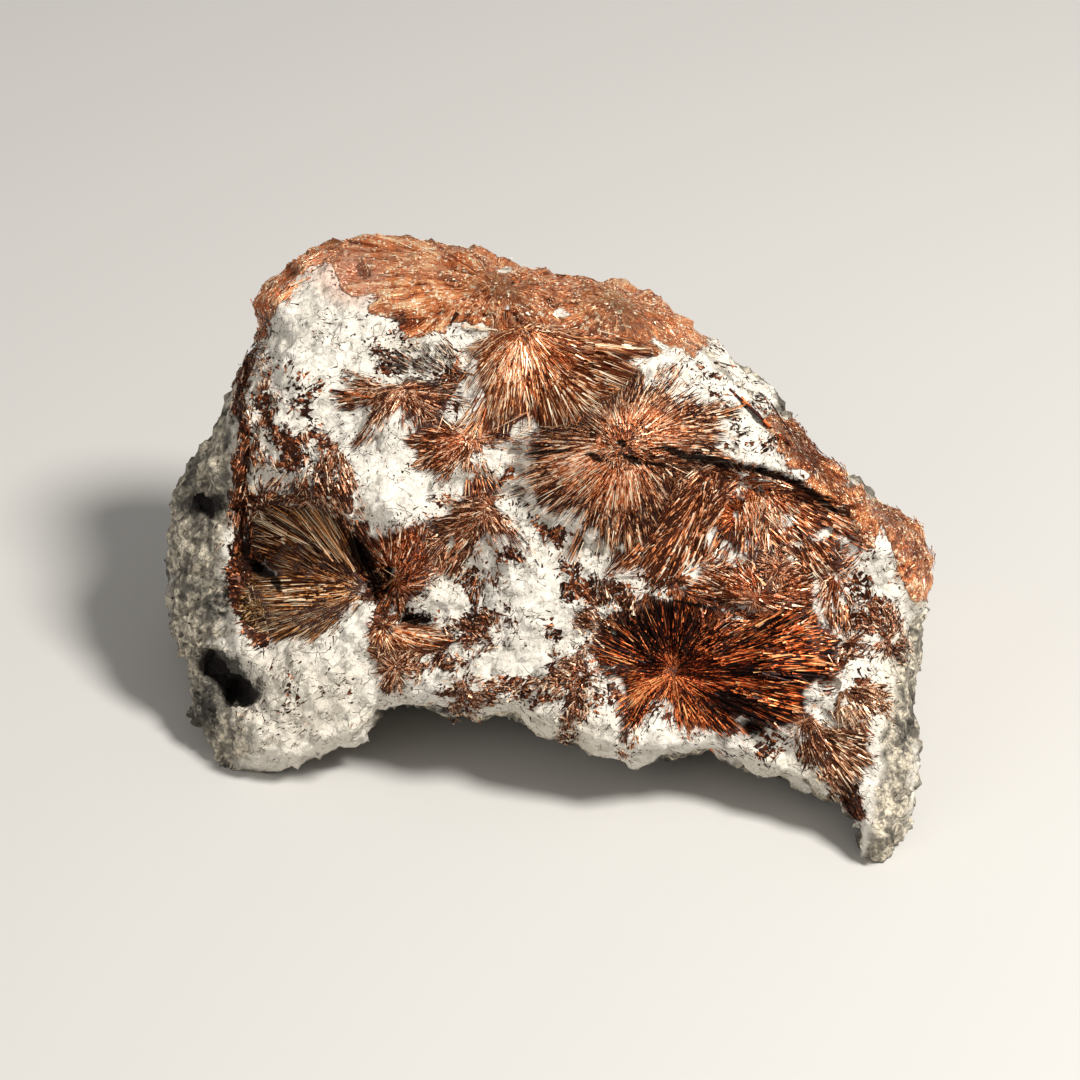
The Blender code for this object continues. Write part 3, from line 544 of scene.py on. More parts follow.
# Painted shadow and dark shading on the ground: (across, down, half width, half height, turn, share)
PAINTED_SHADOWS = [
    (205, 503, 24, 17, 10, 1.0),
    (218, 596, 18, 52, 5, 0.50),
    (228, 676, 50, 30, 35, 0.90),
    (196, 720, 26, 36, 0, 0.60),
    (252, 462, 18, 30, 0, 0.35),
    (298, 490, 44, 12, 0, 0.60),
    (320, 460, 22, 22, 0, 0.35),
    (905, 760, 10, 70, 0, 0.35),
]

# Soft blush of bronze over the white rock beside the crest: (across, down, half width, half height, turn)
BLUSH = (346, 276, 46, 36, 35)

# Grey, darkly weathered side of the rock: (half width, points along the middle)
WALL_BANDS = [
    (50, [(205, 430), (194, 520), (192, 600), (196, 680), (212, 745)]),
    (26, [(920, 630), (908, 700), (900, 760), (890, 830), (880, 860)]),
]

# Hollows and knobs of the display face: (across, down, half width, half height, turn, depth in mm)
HOLLOWS = [
    (213, 668, 22, 13, 40, 5.0),
    (238, 690, 28, 17, 28, 5.5),
    (206, 503, 21, 15, 10, 4.5),
    (263, 574, 22, 12, 38, 3.4),
    (384, 578, 12, 24, 12, 3.8),
    (416, 621, 24, 8, 5, 3.2),
    (622, 442, 7, 5, 0, 2.4),
    (596, 457, 11, 5, 25, 2.4),
    (632, 459, 13, 5, 20, 2.4),
    (545, 412, 9, 12, 0, 0.8),
    (756, 724, 26, 7, 20, 2.2),
    (735, 515, 10, 16, 0, 1.6),
    (285, 502, 22, 5, -3, 2.0),
    (240, 510, 8, 40, 4, 1.4),
    (866, 600, 10, 10, 0, 1.2),
    (262, 603, 15, 17, 0, -2.4),
    (873, 856, 8, 9, 0, -1.0),
]

# Cracks of the display face: (half width, depth in mm, points along the middle)
CRACKS = [
    (5.5, 3.2, [(688, 456), (712, 462), (735, 466), (772, 475), (800, 487), (822, 503), (836, 509)]),
    (4, 0.9, [(512, 312), (522, 326)]),
    (5, 1.8, [(512, 282), (560, 275)]),
    (6, 1.6, [(480, 318), (500, 314), (520, 322)]),
    (6, 1.6, [(508, 452), (560, 444), (590, 452)]),
    (7, 2.0, [(600, 668), (625, 655), (650, 668)]),
    (7, 2.0, [(700, 704), (730, 722), (760, 730)]),
    (5, 1.6, [(700, 598), (730, 606), (760, 620)]),
    (6, 1.6, [(256, 344), (246, 372), (262, 410), (250, 440), (244, 480), (238, 560), (244, 600)]),
    (5, 1.2, [(300, 500), (330, 520), (352, 545), (366, 580)]),
    (5, 1.2, [(560, 720), (575, 700), (582, 680)]),
    (5, 1.4, [(620, 700), (622, 740)]),
]

# Colours of the laths by mood: dark, bronze, gold, tip and, where it isn't the usual one, glint: a painted
# highlight
USUAL_GLINT = (1.0, 0.84, 0.62)
MOODS = {
    "bronze": ((0.026, 0.005, 0.003), (0.60, 0.130, 0.032), (1.0, 0.43, 0.18), (0.035, 0.015, 0.012)),
    "golden": ((0.034, 0.006, 0.003), (0.66, 0.145, 0.032), (1.0, 0.48, 0.20), (0.14, 0.032, 0.011)),
    "crest": ((0.26, 0.062, 0.020), (0.80, 0.250, 0.085), (1.0, 0.60, 0.32), (0.50, 0.14, 0.044)),
    "dark": ((0.006, 0.002, 0.001), (0.115, 0.010, 0.003), (0.90, 0.16, 0.030), (0.010, 0.004, 0.003),
             (1.0, 0.50, 0.20)),
    "matted": ((0.024, 0.005, 0.003), (0.46, 0.085, 0.020), (1.0, 0.36, 0.13), (0.060, 0.017, 0.008)),
    "russet": ((0.024, 0.005, 0.002), (0.36, 0.052, 0.010), (1.0, 0.28, 0.07), (0.060, 0.014, 0.005)),
    "umber": ((0.022, 0.006, 0.003), (0.27, 0.060, 0.018), (0.95, 0.36, 0.15), (0.054, 0.018, 0.010)),
    "grey": ((0.018, 0.011, 0.007), (0.13, 0.064, 0.040), (0.70, 0.46, 0.33), (0.050, 0.034, 0.026)),
    "coarse": ((0.008, 0.003, 0.002), (0.30, 0.066, 0.015), (1.0, 0.42, 0.12), (0.05, 0.016, 0.007),
               (1.0, 0.80, 0.55)),
    "sheen": ((0.050, 0.014, 0.005), (0.46, 0.125, 0.030), (1.0, 0.46, 0.17), (0.20, 0.055, 0.018)),
    "honey": ((0.030, 0.010, 0.003), (0.34, 0.125, 0.024), (0.95, 0.50, 0.14), (0.06, 0.022, 0.007)),
    "tan": ((0.034, 0.010, 0.005), (0.25, 0.072, 0.026), (0.95, 0.48, 0.25), (0.10, 0.034, 0.014)),
    "clump": ((0.018, 0.006, 0.003), (0.17, 0.040, 0.013), (0.66, 0.22, 0.08), (0.050, 0.016, 0.008)),
}
# Pale flakes coloured as sparkle: painted glints
GLINT_COLOURS = ((0.95, 0.66, 0.38), (1.0, 0.82, 0.58), (1.0, 0.93, 0.82), (1.0, 0.85, 0.65))
FILMED_MOODS = ("crest", "sheen")

# How the laths of a mood lie: how closely they hug the surface, how wavy, varied, strayed and tangled in the
# middle they are, and the radius in mm of the middle that the long ones stay out of
HABITS = {
    "crest": (1.0, 0.6, 0.7, 0.08, 4.0, 0.0),
    "coarse": (0.3, 0.05, 1.25, 0.025, 0.5, 0.0),
    "sheen": (1.0, 0.3, 0.8, 0.07, 0.5, 0.0),
    "bronze": (0.6, 0.12, 0.95, 0.06, 16.0, 5.0),
    "dark": (0.5, 0.10, 0.55, 0.06, 8.0, 2.0),
    "golden": (0.6, 0.15, 0.95, 0.07, 8.0, 3.0),
    "matted": (0.7, 0.5, 0.9, 0.16, 6.0, 2.0),
    "clump": (0.6, 1.6, 0.9, 0.55, 0.0, 0.0),
    "honey": (0.6, 1.2, 0.9, 0.45, 0.0, 0.0),
}
USUAL_HABIT = (0.7, 0.45, 0.9, 0.12, 0.5, 0.0)


class Wire:
    """One output of a node. Used in a sum, it adds the Math nodes of that sum."""

    def __init__(self, board, socket):
        self.board = board
        self.socket = socket

    def reckoned(self, operation, *values):
        """The result of one sum on these values."""
        return self.board.add("ShaderNodeMath", {"operation": operation}, dict(enumerate(values)))

    def __add__(self, other):
        return self.reckoned("ADD", self, other)

    def __sub__(self, other):
        return self.reckoned("SUBTRACT", self, other)

    def __mul__(self, other):
        return self.reckoned("MULTIPLY", self, other)

    def __truediv__(self, other):
        return self.reckoned("DIVIDE", self, other)

    def __radd__(self, other):
        return self.reckoned("ADD", other, self)

    def __rsub__(self, other):
        return self.reckoned("SUBTRACT", other, self)

    def __rmul__(self, other):
        return self.reckoned("MULTIPLY", other, self)

    def __rtruediv__(self, other):
        return self.reckoned("DIVIDE", other, self)

    def least(self, other):
        """The smaller of the two."""
        return self.reckoned("MINIMUM", self, other)

    def most(self, other):
        """The larger of the two."""
        return self.reckoned("MAXIMUM", self, other)

    def eased(self, low, high):
        """0 below low and 1 above high, with a soft step between."""
        return self.board.add(
            "ShaderNodeMapRange", {"interpolation_type": "SMOOTHSTEP"},
            {0: self, 1: low, 2: high, 3: 0.0, 4: 1.0},
        )


class Board:
    """A node tree that is being wired up."""

    def __init__(self, tree):
        self.tree = tree

    def add(self, kind, settings=None, values=None, output=0):
        """Adds a node with these settings and socket values or links, and gives its output as a wire."""
        node = self.tree.nodes.new(kind)
        for name, value in (settings or {}).items():
            setattr(node, name, value)
        for key, value in (values or {}).items():
            if isinstance(value, Wire):
                self.tree.links.new(value.socket, node.inputs[key])
            else:
                node.inputs[key].default_value = value
        return Wire(self, node.outputs[output]) if len(node.outputs) else None

    def out(self, wire, name):
        """The output of that name on the node that a wire comes from."""
        return Wire(self, wire.socket.node.outputs[name])

    def blend(self, share, first, second):
        """One colour turning into another as share goes from 0 to 1."""
        colours = [(*value, 1.0) if isinstance(value, tuple) else value for value in (first, second)]
        return self.add("ShaderNodeMix", {"data_type": "RGBA"}, {0: share, 6: colours[0], 7: colours[1]}, 2)

    def vector(self, operation, *values, output=0, **labelled):
        """Vector maths on vectors."""
        inputs = {**dict(enumerate(values)), **labelled}
        return self.add("ShaderNodeVectorMath", {"operation": operation}, inputs, output)

    def noise(self, place, size, detail=3.0, roughness=0.55):
        """Cloudy noise from 0 to 1, with clouds of that size in metres."""
        values = {"Vector": place, "Scale": 1.0 / size, "Detail": detail, "Roughness": roughness}
        return self.add("ShaderNodeTexNoise", None, values)

    def attribute(self, name, output="Fac"):
        """A value that the mesh keeps, by name."""
        return self.add("ShaderNodeAttribute", {"attribute_name": name}, None, output)


def colour(name, description, value):
    """A setting that holds a colour."""
    return bpy.props.FloatVectorProperty(
        name=name, description=description, default=value, subtype="COLOR", size=3, min=0.0, max=1.0
    )


def length(name, description, value):
    """A setting that holds a length in metres."""
    return bpy.props.FloatProperty(
        name=name, description=description, default=value, unit="LENGTH", min=0.0
    )


class RockSettings(bpy.types.PropertyGroup):
    """Sizes and colours of the albite rock."""

    cell: length("Cell", "Size of the mesh cells of the rock's surface", 0.00100)
    lump_height: length("Lump height", "How far the lumps of the rock stand out", 0.0014)
    grain_height: length("Grain height", "How far the sugary grains stand out", 0.00045)
    white: colour("White", "Fresh albite on the display face", (0.83, 0.78, 0.695))
    cream: colour("Cream", "Yellowed albite", (0.74, 0.67, 0.55))
    grey: colour("Grey", "Weathered albite on the sides", (0.17, 0.152, 0.12))
    dark: colour("Dark", "Dark mineral grains", (0.035, 0.03, 0.028))
    # Brown under the sprays: a stain, and also painted shade between their laths
    brown: colour("Brown", "Stain under the sprays", (0.026, 0.007, 0.0035))


class LathSettings(bpy.types.PropertyGroup):
    """Sizes of the astrophyllite laths."""

    width: length("Width", "Width of a lath", 0.00042)
    thickness: length("Thickness", "Thickness of a lath", 0.00018)
    layer: length("Layer", "How thick the layer of laths is", 0.0008)
    crowding: bpy.props.FloatProperty(
        name="Crowding", description="Laths on each square millimetre", default=15.0, min=0.0
    )


class FleckSettings(bpy.types.PropertyGroup):
    """Sizes of the loose flecks on the white rock."""

    length: length("Length", "Length of a fleck", 0.0022)
    width: length("Width", "Width of a fleck", 0.00024)


class StageSettings(bpy.types.PropertyGroup):
    """Floor and lights."""

    floor: colour("Floor", "Colour of the floor", (0.60, 0.59, 0.57))
    key_power: bpy.props.FloatProperty(
        name="Key light", description="Power of the key light", default=20.0, min=0.0
    )
    fill_power: bpy.props.FloatProperty(
        name="Fill light", description="Power of the fill light", default=2.0, min=0.0
    )


def picture_points(places):
    """Picture points of world places: two arrays, across and down."""
    offset = places - np.array(FACE_MIDDLE)
    depth = offset @ np.array(TOWARDS_EYE)
    nearer = 1 - depth / EYE_DISTANCE
    across = PICTURE_MIDDLE + offset[:, 0] / nearer / PICTURE_UNIT
    down = PICTURE_MIDDLE - offset @ np.array(FACE_UP) / nearer / PICTURE_UNIT
    return across, down


def gap_to_line(across, down, start, end):
    """How far each picture point lies from the straight line between two of them."""
    run = end - start
    share = np.clip(((across - start[0]) * run[0] + (down - start[1]) * run[1]) / (run @ run), 0, 1)
    return np.hypot(across - start[0] - share * run[0], down - start[1] - share * run[1])


def band_mask(across, down, bands, raggedness):
    """1 along the middle of a band, falling to 0 at its edge and below 0 outside."""
    best = np.full(across.shape, FAR_OUTSIDE)
    for half_width, line in bands:
        line = np.array(line, float)
        for start, end in zip(line, line[1:]):
            best = np.maximum(best, 1 - gap_to_line(across, down, start, end) / half_width)
    return best + raggedness


def patch_mask(across, down, patches):
    """1 in the middle of a patch, 0 at its edge and below 0 outside."""
    best = np.full(across.shape, FAR_OUTSIDE)
    for at_across, at_down, wide, high, turn in patches:
        turn = math.radians(turn)
        along = (across - at_across) * math.cos(turn) + (down - at_down) * math.sin(turn)
        over = (down - at_down) * math.cos(turn) - (across - at_across) * math.sin(turn)
        best = np.maximum(best, 1 - np.hypot(along / wide, over / high))
    return best


def blobs(across, down, rows, ragged, steepness=1.6):
    """The values of soft-edged ellipses, added up."""
    total = np.zeros(across.shape)
    for *ellipse, value in rows:
        total += value * np.clip(steepness * (patch_mask(across, down, [ellipse]) + ragged), 0, 1)
    return total


def depth_inside(across, down, outline):
    """How far each picture point lies inside an outline: below 0 outside it."""
    points = np.array(outline, float)
    gap = np.full(across.shape, np.inf)
    inside = np.zeros(across.shape, bool)
    for start, end in zip(points, np.roll(points, -1, axis=0)):
        run = end - start
        gap = np.minimum(gap, gap_to_line(across, down, start, end))
        if start[1] != end[1]:
            crosses = (start[1] > down) != (end[1] > down)
            inside ^= crosses & (across < start[0] + (down - start[1]) * run[0] / run[1])
    return np.where(inside, gap, -gap)


def merged(node):
    """A node's solid as a bmesh, with its loose triangles joined."""
    bm = bmesh.new()
    bm.from_mesh(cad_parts[node].data)
    bmesh.ops.remove_doubles(bm, verts=bm.verts[:], dist=SAME_PLACE)
    bm.normal_update()
    return bm


def linked_object(name, data):
    """A new object in the scene that shows this mesh, camera or light."""
    obj = bpy.data.objects.new(name, data)
    bpy.context.scene.collection.objects.link(obj)
    return obj


def as_plain_mesh(obj):
    """The object with its modifiers carried out, as an object of the same name."""
    graph = bpy.context.evaluated_depsgraph_get()
    shown = obj.evaluated_get(graph)
    mesh = bpy.data.meshes.new_from_object(shown, preserve_all_data_layers=True, depsgraph=graph)
    name = obj.name
    bpy.data.objects.remove(obj)
    mesh.name = name
    return linked_object(name, mesh)


def surface_tree(mesh):
    """A search tree of a mesh's faces."""
    bm = bmesh.new()
    bm.from_mesh(mesh)
    tree = BVHTree.FromBMesh(bm)
    bm.free()
    return tree


def verts_of(mesh):
    """Places and normals of a mesh's points, as arrays."""
    places = np.empty(len(mesh.vertices) * 3, np.float32)
    normals = np.empty(len(mesh.vertices) * 3, np.float32)
    mesh.vertices.foreach_get("co", places)
    mesh.vertices.foreach_get("normal", normals)
    return places.reshape(-1, 3).astype(float), normals.reshape(-1, 3).astype(float)


def smoothed_normals(mesh, normals):
    """Normals eased between neighbours, so that they follow the broad shape."""
    edges = np.empty(len(mesh.edges) * 2, np.int32)
    mesh.edges.foreach_get("vertices", edges)
    first, second = edges.reshape(-1, 2).T
    for _ in range(EASING_ROUNDS):
        eased = normals.copy()
        np.add.at(eased, first, normals[second])
        np.add.at(eased, second, normals[first])
        normals = eased / np.linalg.norm(eased, axis=1, keepdims=True)
    return normals


def viewed(mesh):
    """Each point's place, its picture point and how squarely it faces the eye, from -1 to 1."""
    places, normals = verts_of(mesh)
    across, down = picture_points(places)
    return places, across, down, smoothed_normals(mesh, normals) @ np.array(TOWARDS_EYE)


def store(mesh, name, values):
    """Keeps one number, or one vector, for each point of a mesh."""
    kind, key = ("FLOAT", "value") if values.ndim == 1 else ("FLOAT_VECTOR", "vector")
    layer = mesh.attributes.new(name, kind, "POINT")
    layer.data.foreach_set(key, np.ascontiguousarray(values, np.float32).ravel())


def recalled(mesh, name):
    """What store kept."""
    layer = mesh.attributes[name]
    width, key = (1, "value") if layer.data_type == "FLOAT" else (3, "vector")
    values = np.empty(len(mesh.vertices) * width, np.float32)
    layer.data.foreach_get(key, values)
    return values if width == 1 else values.reshape(-1, 3)


def renew(mesh, name, values):
    """Puts new values in place of what store kept."""
    mesh.attributes.remove(mesh.attributes[name])
    store(mesh, name, values)


def rough(places, size, seed=0.0):
    """Noise from -1 to 1 at each place, with clouds of that size."""
    offset = Vector((seed, seed * 1.7, -seed))
    return np.array([noise.noise(Vector(place) / size + offset) for place in places])


def skin_blank(cell):
    """The rock and its sprays as one closed skin of even cells."""
    whole = bmesh.new()
    for node in (ROCK_NODE, *SPRAY_NODES):
        bm = merged(node)
        if node != ROCK_NODE:
            for vert, place in [(vert, vert.co + vert.normal * SEAM_FILL) for vert in bm.verts]:
                vert.co = place
        mesh = bpy.data.meshes.new(node + "_copy")
        bm.to_mesh(mesh)
        bm.free()
        whole.from_mesh(mesh)
        bpy.data.meshes.remove(mesh)
    mesh = bpy.data.meshes.new("albite_skin")
    whole.to_mesh(mesh)
    whole.free()
    skin = linked_object("albite_skin", mesh)
    remesh = skin.modifiers.new("even_cells", "REMESH")
    remesh.mode = "VOXEL"
    remesh.voxel_size = cell
    return as_plain_mesh(skin)


def shell_of(first):
    """All the points that are joined to one by edges, and their numbers."""
    shell, waiting, seen = [], [first], {first.index}
    while waiting:
        vert = waiting.pop()
        shell.append(vert)
        for edge in vert.link_edges:
            other = edge.other_vert(vert)
            if other.index not in seen:
                seen.add(other.index)
                waiting.append(other)
    return shell, seen


def only_outer_shell(mesh):
    """Removes any small closed space that the remeshing left inside."""
    bm = bmesh.new()
    bm.from_mesh(mesh)
    bm.verts.ensure_lookup_table()
    shells, seen = [], set()
    for first in bm.verts:
        if first.index not in seen:
            shell, reached = shell_of(first)
            shells.append(shell)
            seen |= reached
    shells.sort(key=len)
    gone = [vert for shell in shells[:-1] for vert in shell]
    bmesh.ops.delete(bm, geom=gone, context="VERTS")
    bm.to_mesh(mesh)
    bm.free()


def seen_place(tree, across, down):
    """Where the line of sight through a picture point meets the surface, or None where it misses."""
    target = FACE_MIDDLE + Vector((1, 0, 0)) * (across - PICTURE_MIDDLE) * PICTURE_UNIT
    target += FACE_UP * (PICTURE_MIDDLE - down) * PICTURE_UNIT
    return tree.ray_cast(EYE, (target - EYE).normalized())[0]


def fan_source(tree, centre, outline):
    """The point just under the surface that a fan's laths spread from, at or near its centre."""
    middle = np.mean(outline, axis=0)
    for share in np.linspace(0, 1, 21):
        place = seen_place(tree, *(np.array(centre) * (1 - share) + middle * share))
        if place is not None:
            return np.array(place) - np.array(TOWARDS_EYE) * SOURCE_SINK
    raise ValueError("the fan's centre is off the rock")


def carve(mesh):
    """Hollows, knobs and cracks of the display face."""
    places, across, down, facing = viewed(mesh)
    wavy = 0.25 * rough(places, 0.003, 2.0)
    depth = blobs(across, down, HOLLOWS, wavy, 1.5)
    for half_width, deep, line in CRACKS:
        depth += deep * np.clip(1.2 * band_mask(across, down, [(half_width, line)], wavy), 0, 1)
    depth *= np.clip((facing - TURNED_AWAY) / 0.3, 0, 1) * MM
    places -= np.array(TOWARDS_EYE) * depth[:, None]
    mesh.vertices.foreach_set("co", places.astype(np.float32).ravel())
    mesh.update()
    store(mesh, "carved", depth / MM)


def fan_field(number, across, down, facing):
    """The points near a fan, how far inside it each one lies and how near its rim it is, from 0 to 1."""
    centre, outline = FANS[number][-2:]
    low, high = np.min(outline, axis=0) - FAN_MARGIN, np.max(outline, axis=0) + FAN_MARGIN
    in_box = (across > low[0]) & (across < high[0]) & (down > low[1]) & (down < high[1])
    near = np.nonzero(in_box & (facing > TURNED_AWAY))[0]
    inside = depth_inside(across[near], down[near], outline)
    turned = np.arctan2(down[near] - centre[1], across[near] - centre[0])
    circle = np.stack([np.cos(turned), np.sin(turned), 0 * turned], axis=1)
    fingers = FINGER_REACH * (rough(circle, 0.34, number) + rough(circle, 0.10, number + 0.5))
    inside += fingers * np.clip(1 - np.abs(inside) / FINGER_FADE, 0, 1)
    away = np.hypot(across[near] - centre[0], down[near] - centre[1])
    share = away / (away + np.maximum(inside, 0) + 1)
    if FANS[number][0].startswith("nest_"):
        inside += NEST_LEAD * (inside > 0)
    return near, inside, share


def free_run(across, down, owner):
    """How far in metres a lath that ends at each point may run back before it crosses white rock."""
    centres = np.array([fan[-2] for fan in FANS], float)[np.maximum(owner, 0).astype(int)]
    heading = centres - np.stack([across, down], axis=1)
    heading /= np.linalg.norm(heading, axis=1, keepdims=True) + 1e-9
    run = np.full(across.shape, FREE_STEPS * FREE_STEP)
    for step in range(FREE_STEPS, 0, -1):
        ahead = (across + heading[:, 0] * step * FREE_STEP, down + heading[:, 1] * step * FREE_STEP)
        run[patch_mask(*ahead, WHITE_PATCHES) > 0.1] = step * FREE_STEP
    return run * PICTURE_UNIT


def mark_fans(mesh, across, down, facing, fine):
    """Keeps what each point takes from its fan, and gives the fan's number and the depth inside it."""
    tree = surface_tree(mesh)
    owner = np.full(across.shape, -1.0)
    share = np.zeros(across.shape)
    deepest = np.full(across.shape, -FAN_MARGIN)
    second = np.full(across.shape, -FAN_MARGIN)
    solid = np.ones(across.shape)
    jagged = np.full(across.shape, USUAL_RAGGEDNESS)
    source = np.tile(np.array(FACE_MIDDLE), (len(across), 1))
    for number, (_, _, _, solidity, _, _, raggedness, centre, outline) in enumerate(FANS):
        near, inside, out = fan_field(number, across, down, facing)
        best = inside > deepest[near]
        second[near] = np.where(best, deepest[near], np.maximum(second[near], inside))
        mine = near[best]
        deepest[mine] = inside[best]
        owner[mine] = number
        solid[mine] = solidity
        jagged[mine] = raggedness
        source[mine] = fan_source(tree, centre, outline)
        share[mine] = out[best]
    depth = deepest + SEAM_RISE * np.clip(SEAM_REACH + second, 0, 1.5 * SEAM_REACH)
    # A fan that isn't solid breaks up into clumps
    depth = np.minimum(depth, 22 * (solid - 0.55) + 24 * fine + 60 * (solid > 0.99))
    depth = np.where(facing > TURNED_AWAY, depth, HIDDEN_DEPTH)
    for name, values in (("owner", owner), ("share", share), ("deepest", deepest), ("jagged", jagged),
                         ("source", source), ("depth", depth), ("free", free_run(across, down, owner))):
        store(mesh, name, values)
    return owner, depth


def mark_skin(mesh):
    """Keeps, at each point of the skin, which fan it belongs to, its film, stains, painted light and shadow,
    and flecks.
    """
    places, across, down, facing = viewed(mesh)
    broad = rough(places, 0.009)
    fine = rough(places, 0.0028, 5.0)
    ragged = 0.25 * broad + 0.22 * fine
    front = np.clip((facing - 0.02) / 0.25, 0, 1)
    owner, depth = mark_fans(mesh, across, down, facing, fine)

    white = patch_mask(across, down, WHITE_PATCHES) + 0.4 * fine + 0.15 * broad
    bare = 1 - np.clip(2.5 * white, 0, 1)
    clear = np.minimum(-9 * white, CLEAR_LIMIT * (1 - recalled(mesh, "carved")))
    opened = np.clip(blobs(across, down, OPEN_RIMS, 0.2 * broad), 0, 1)

    bronze = np.clip(1.6 * band_mask(across, down, BRONZE_BANDS, ragged), 0, 1) * (facing > -0.45)
    silky = np.isin(owner, [number for number, fan in enumerate(FANS) if fan[1] in FILMED_MOODS])
    bronze = np.maximum(bronze, silky * np.clip(0.25 + depth / 6.0 + ragged, 0, 1)) * bare
    brown = np.clip(1.6 * band_mask(across, down, BROWN_BANDS, 2.6 * ragged), 0, 1) * front * bare
    wall = np.maximum(1.5 * band_mask(across, down, WALL_BANDS, ragged), 1.2 - 3.2 * facing)
    flow = rough(np.stack([across / 55, (down - 0.35 * across) / 9, 0 * down], axis=1), 1.0, 4.0)
    flow += 0.5 * rough(np.stack([across / 25, (down - 0.35 * across) / 4, 0 * down], axis=1), 1.0, 6.0)
    flow *= np.clip(bronze * 1.5, 0, 1)

    drifts = np.clip(2.4 * rough(places, 0.007, 9.0) + 1.2 * rough(places, 0.003, 3.0) + 0.30, 0.03, 1.8)
    rim = np.clip(1 + depth / 18.0, 0, 1) ** 2
    flecks = (0.02 + blobs(across, down, FLECK_DRIFTS, 0.3 * broad)) * drifts + 0.25 * rim
    marks = {
        "clear": np.clip(clear, -9, CLEAR_LIMIT),
        "opened": opened,
        "flow": flow,
        "front": front,
        "bronze": bronze,
        "brown": brown,
        "wall": np.clip(wall, 0, 1),
        # Painted light and shade: the listed zones, and highlights and shade painted along the film's waves
        "painted_light_and_tone": blobs(across, down, PAINTED_LIGHT_AND_TONE, 0.2 * fine) + 0.55 * flow,
        "painted_shadow": blobs(across, down, PAINTED_SHADOWS, 0.3 * broad + 0.2 * fine),
        "blush": np.clip(patch_mask(across, down, [BLUSH]), 0, 1) * front,
        "beige": blobs(across, down, BEIGE_GROUND, 0.3 * broad),
        "drift": np.clip(flecks, 0, 1.6) * front * (depth < 0),
    }
    for name, values in marks.items():
        store(mesh, name, values)


def new_tree(name, sockets):
    """A Geometry Nodes tree with a geometry in and out and these named inputs."""
    tree = bpy.data.node_groups.new(name, "GeometryNodeTree")
    tree.is_modifier = True
    tree.interface.new_socket("Geometry", in_out="INPUT", socket_type="NodeSocketGeometry")
    tree.interface.new_socket("Geometry", in_out="OUTPUT", socket_type="NodeSocketGeometry")
    for label, kind in sockets:
        tree.interface.new_socket(label, in_out="INPUT", socket_type="NodeSocket" + kind)
    board = Board(tree)
    given = board.add("NodeGroupInput")
    inputs = {label: board.out(given, label) for label in ("Geometry", *(label for label, _ in sockets))}
    return board, inputs


def finish_tree(board, geometry, surface):
    """Ends a tree: instances made real, and one material."""
    real = board.add("GeometryNodeRealizeInstances", None, {"Geometry": geometry})
    done = board.add("GeometryNodeSetMaterial", None, {"Geometry": real, "Material": surface})
    board.add("NodeGroupOutput", None, {"Geometry": done})


def grow(obj, tree, values):
    """Runs a tree on an object with these inputs, and gives the result as a plain mesh object."""
    modifier = obj.modifiers.new("grow", "NODES")
    modifier.node_group = tree
    for item in tree.interface.items_tree:
        if item.in_out == "INPUT" and item.name in values:
            modifier[item.identifier] = values[item.name]
    return as_plain_mesh(obj)


def named(board, name, kind="FLOAT"):
    """An attribute of the mesh, by name."""
    return board.add("GeometryNodeInputNamedAttribute", {"data_type": kind}, {"Name": name})


def kept_on(board, points, values, kind="FLOAT"):
    """The points, with these values kept on them by name."""
    for name, value in values.items():
        points = board.add(
            "GeometryNodeStoreNamedAttribute", {"data_type": kind, "domain": "POINT"},
            {"Geometry": points, "Name": name, "Value": value},
        )
    return points


def spread_value(board, low, high, seed):
    """A random number for each point."""
    return board.add("FunctionNodeRandomValue", {"data_type": "FLOAT"}, {2: low, 3: high, "Seed": seed}, 1)


def spread_vector(board, reach, seed):
    """A random vector for each point, up to reach each way."""
    low = board.add("ShaderNodeCombineXYZ", None, {0: 0.0 - reach, 1: 0.0 - reach, 2: 0.0 - reach})
    high = board.add("ShaderNodeCombineXYZ", None, {0: reach, 1: reach, 2: reach})
    ends = {0: low, 1: high, "Seed": seed}
    return board.add("FunctionNodeRandomValue", {"data_type": "FLOAT_VECTOR"}, ends)


def scattered(board, given, density):
    """Points strewn over the ground, and the surface's normal at each one."""
    inputs = {"Mesh": given["Geometry"], "Density": density, "Seed": given["Seed"]}
    points = board.add("GeometryNodeDistributePointsOnFaces", None, inputs)
    return points, board.out(points, "Normal")


def wandering(board, place, size):
    """A vector that turns slowly from place to place."""
    return board.vector("SUBTRACT", board.out(board.noise(place, size, 1.0), "Color"), HALF)


def blade(board, half_width, root):
    """A three-sided blade along X, 1 long, that tapers from its root to its tip."""
    cone = board.add(
        "GeometryNodeMeshCone", {"fill_type": "NGON"},
        {"Vertices": 3, "Side Segments": 1, "Radius Top": 0.0, "Radius Bottom": half_width, "Depth": 1.0},
    )
    return board.add(
        "GeometryNodeTransform", None,
        {"Geometry": cone, "Rotation": (0.0, math.pi / 2, 0.0), "Translation": (root, 0.0, 0.0)},
    )


def laid_along(board, heading, upwards, roll, seed):
    """The turn that lays a blade along its heading with a flat side down, give or take the roll."""
    along = board.add("FunctionNodeAlignRotationToVector", {"axis": "X"}, {"Vector": heading})
    wavered = board.vector("ADD", upwards, spread_vector(board, roll, seed))
    return board.add(
        "FunctionNodeAlignRotationToVector", {"axis": "Z", "pivot_axis": "X"},
        {"Rotation": along, "Vector": wavered},
    )


def away_from(board, place, source):
    """The direction from the source to a place."""
    return board.vector("NORMALIZE", board.vector("SUBTRACT", place, source))


def ray_point(board, outwards, source):
    """A direction as a point for noise, moved so that each source has noise of its own."""
    return board.vector("ADD", outwards, board.vector("SCALE", source, Scale=RAY_SHIFT))


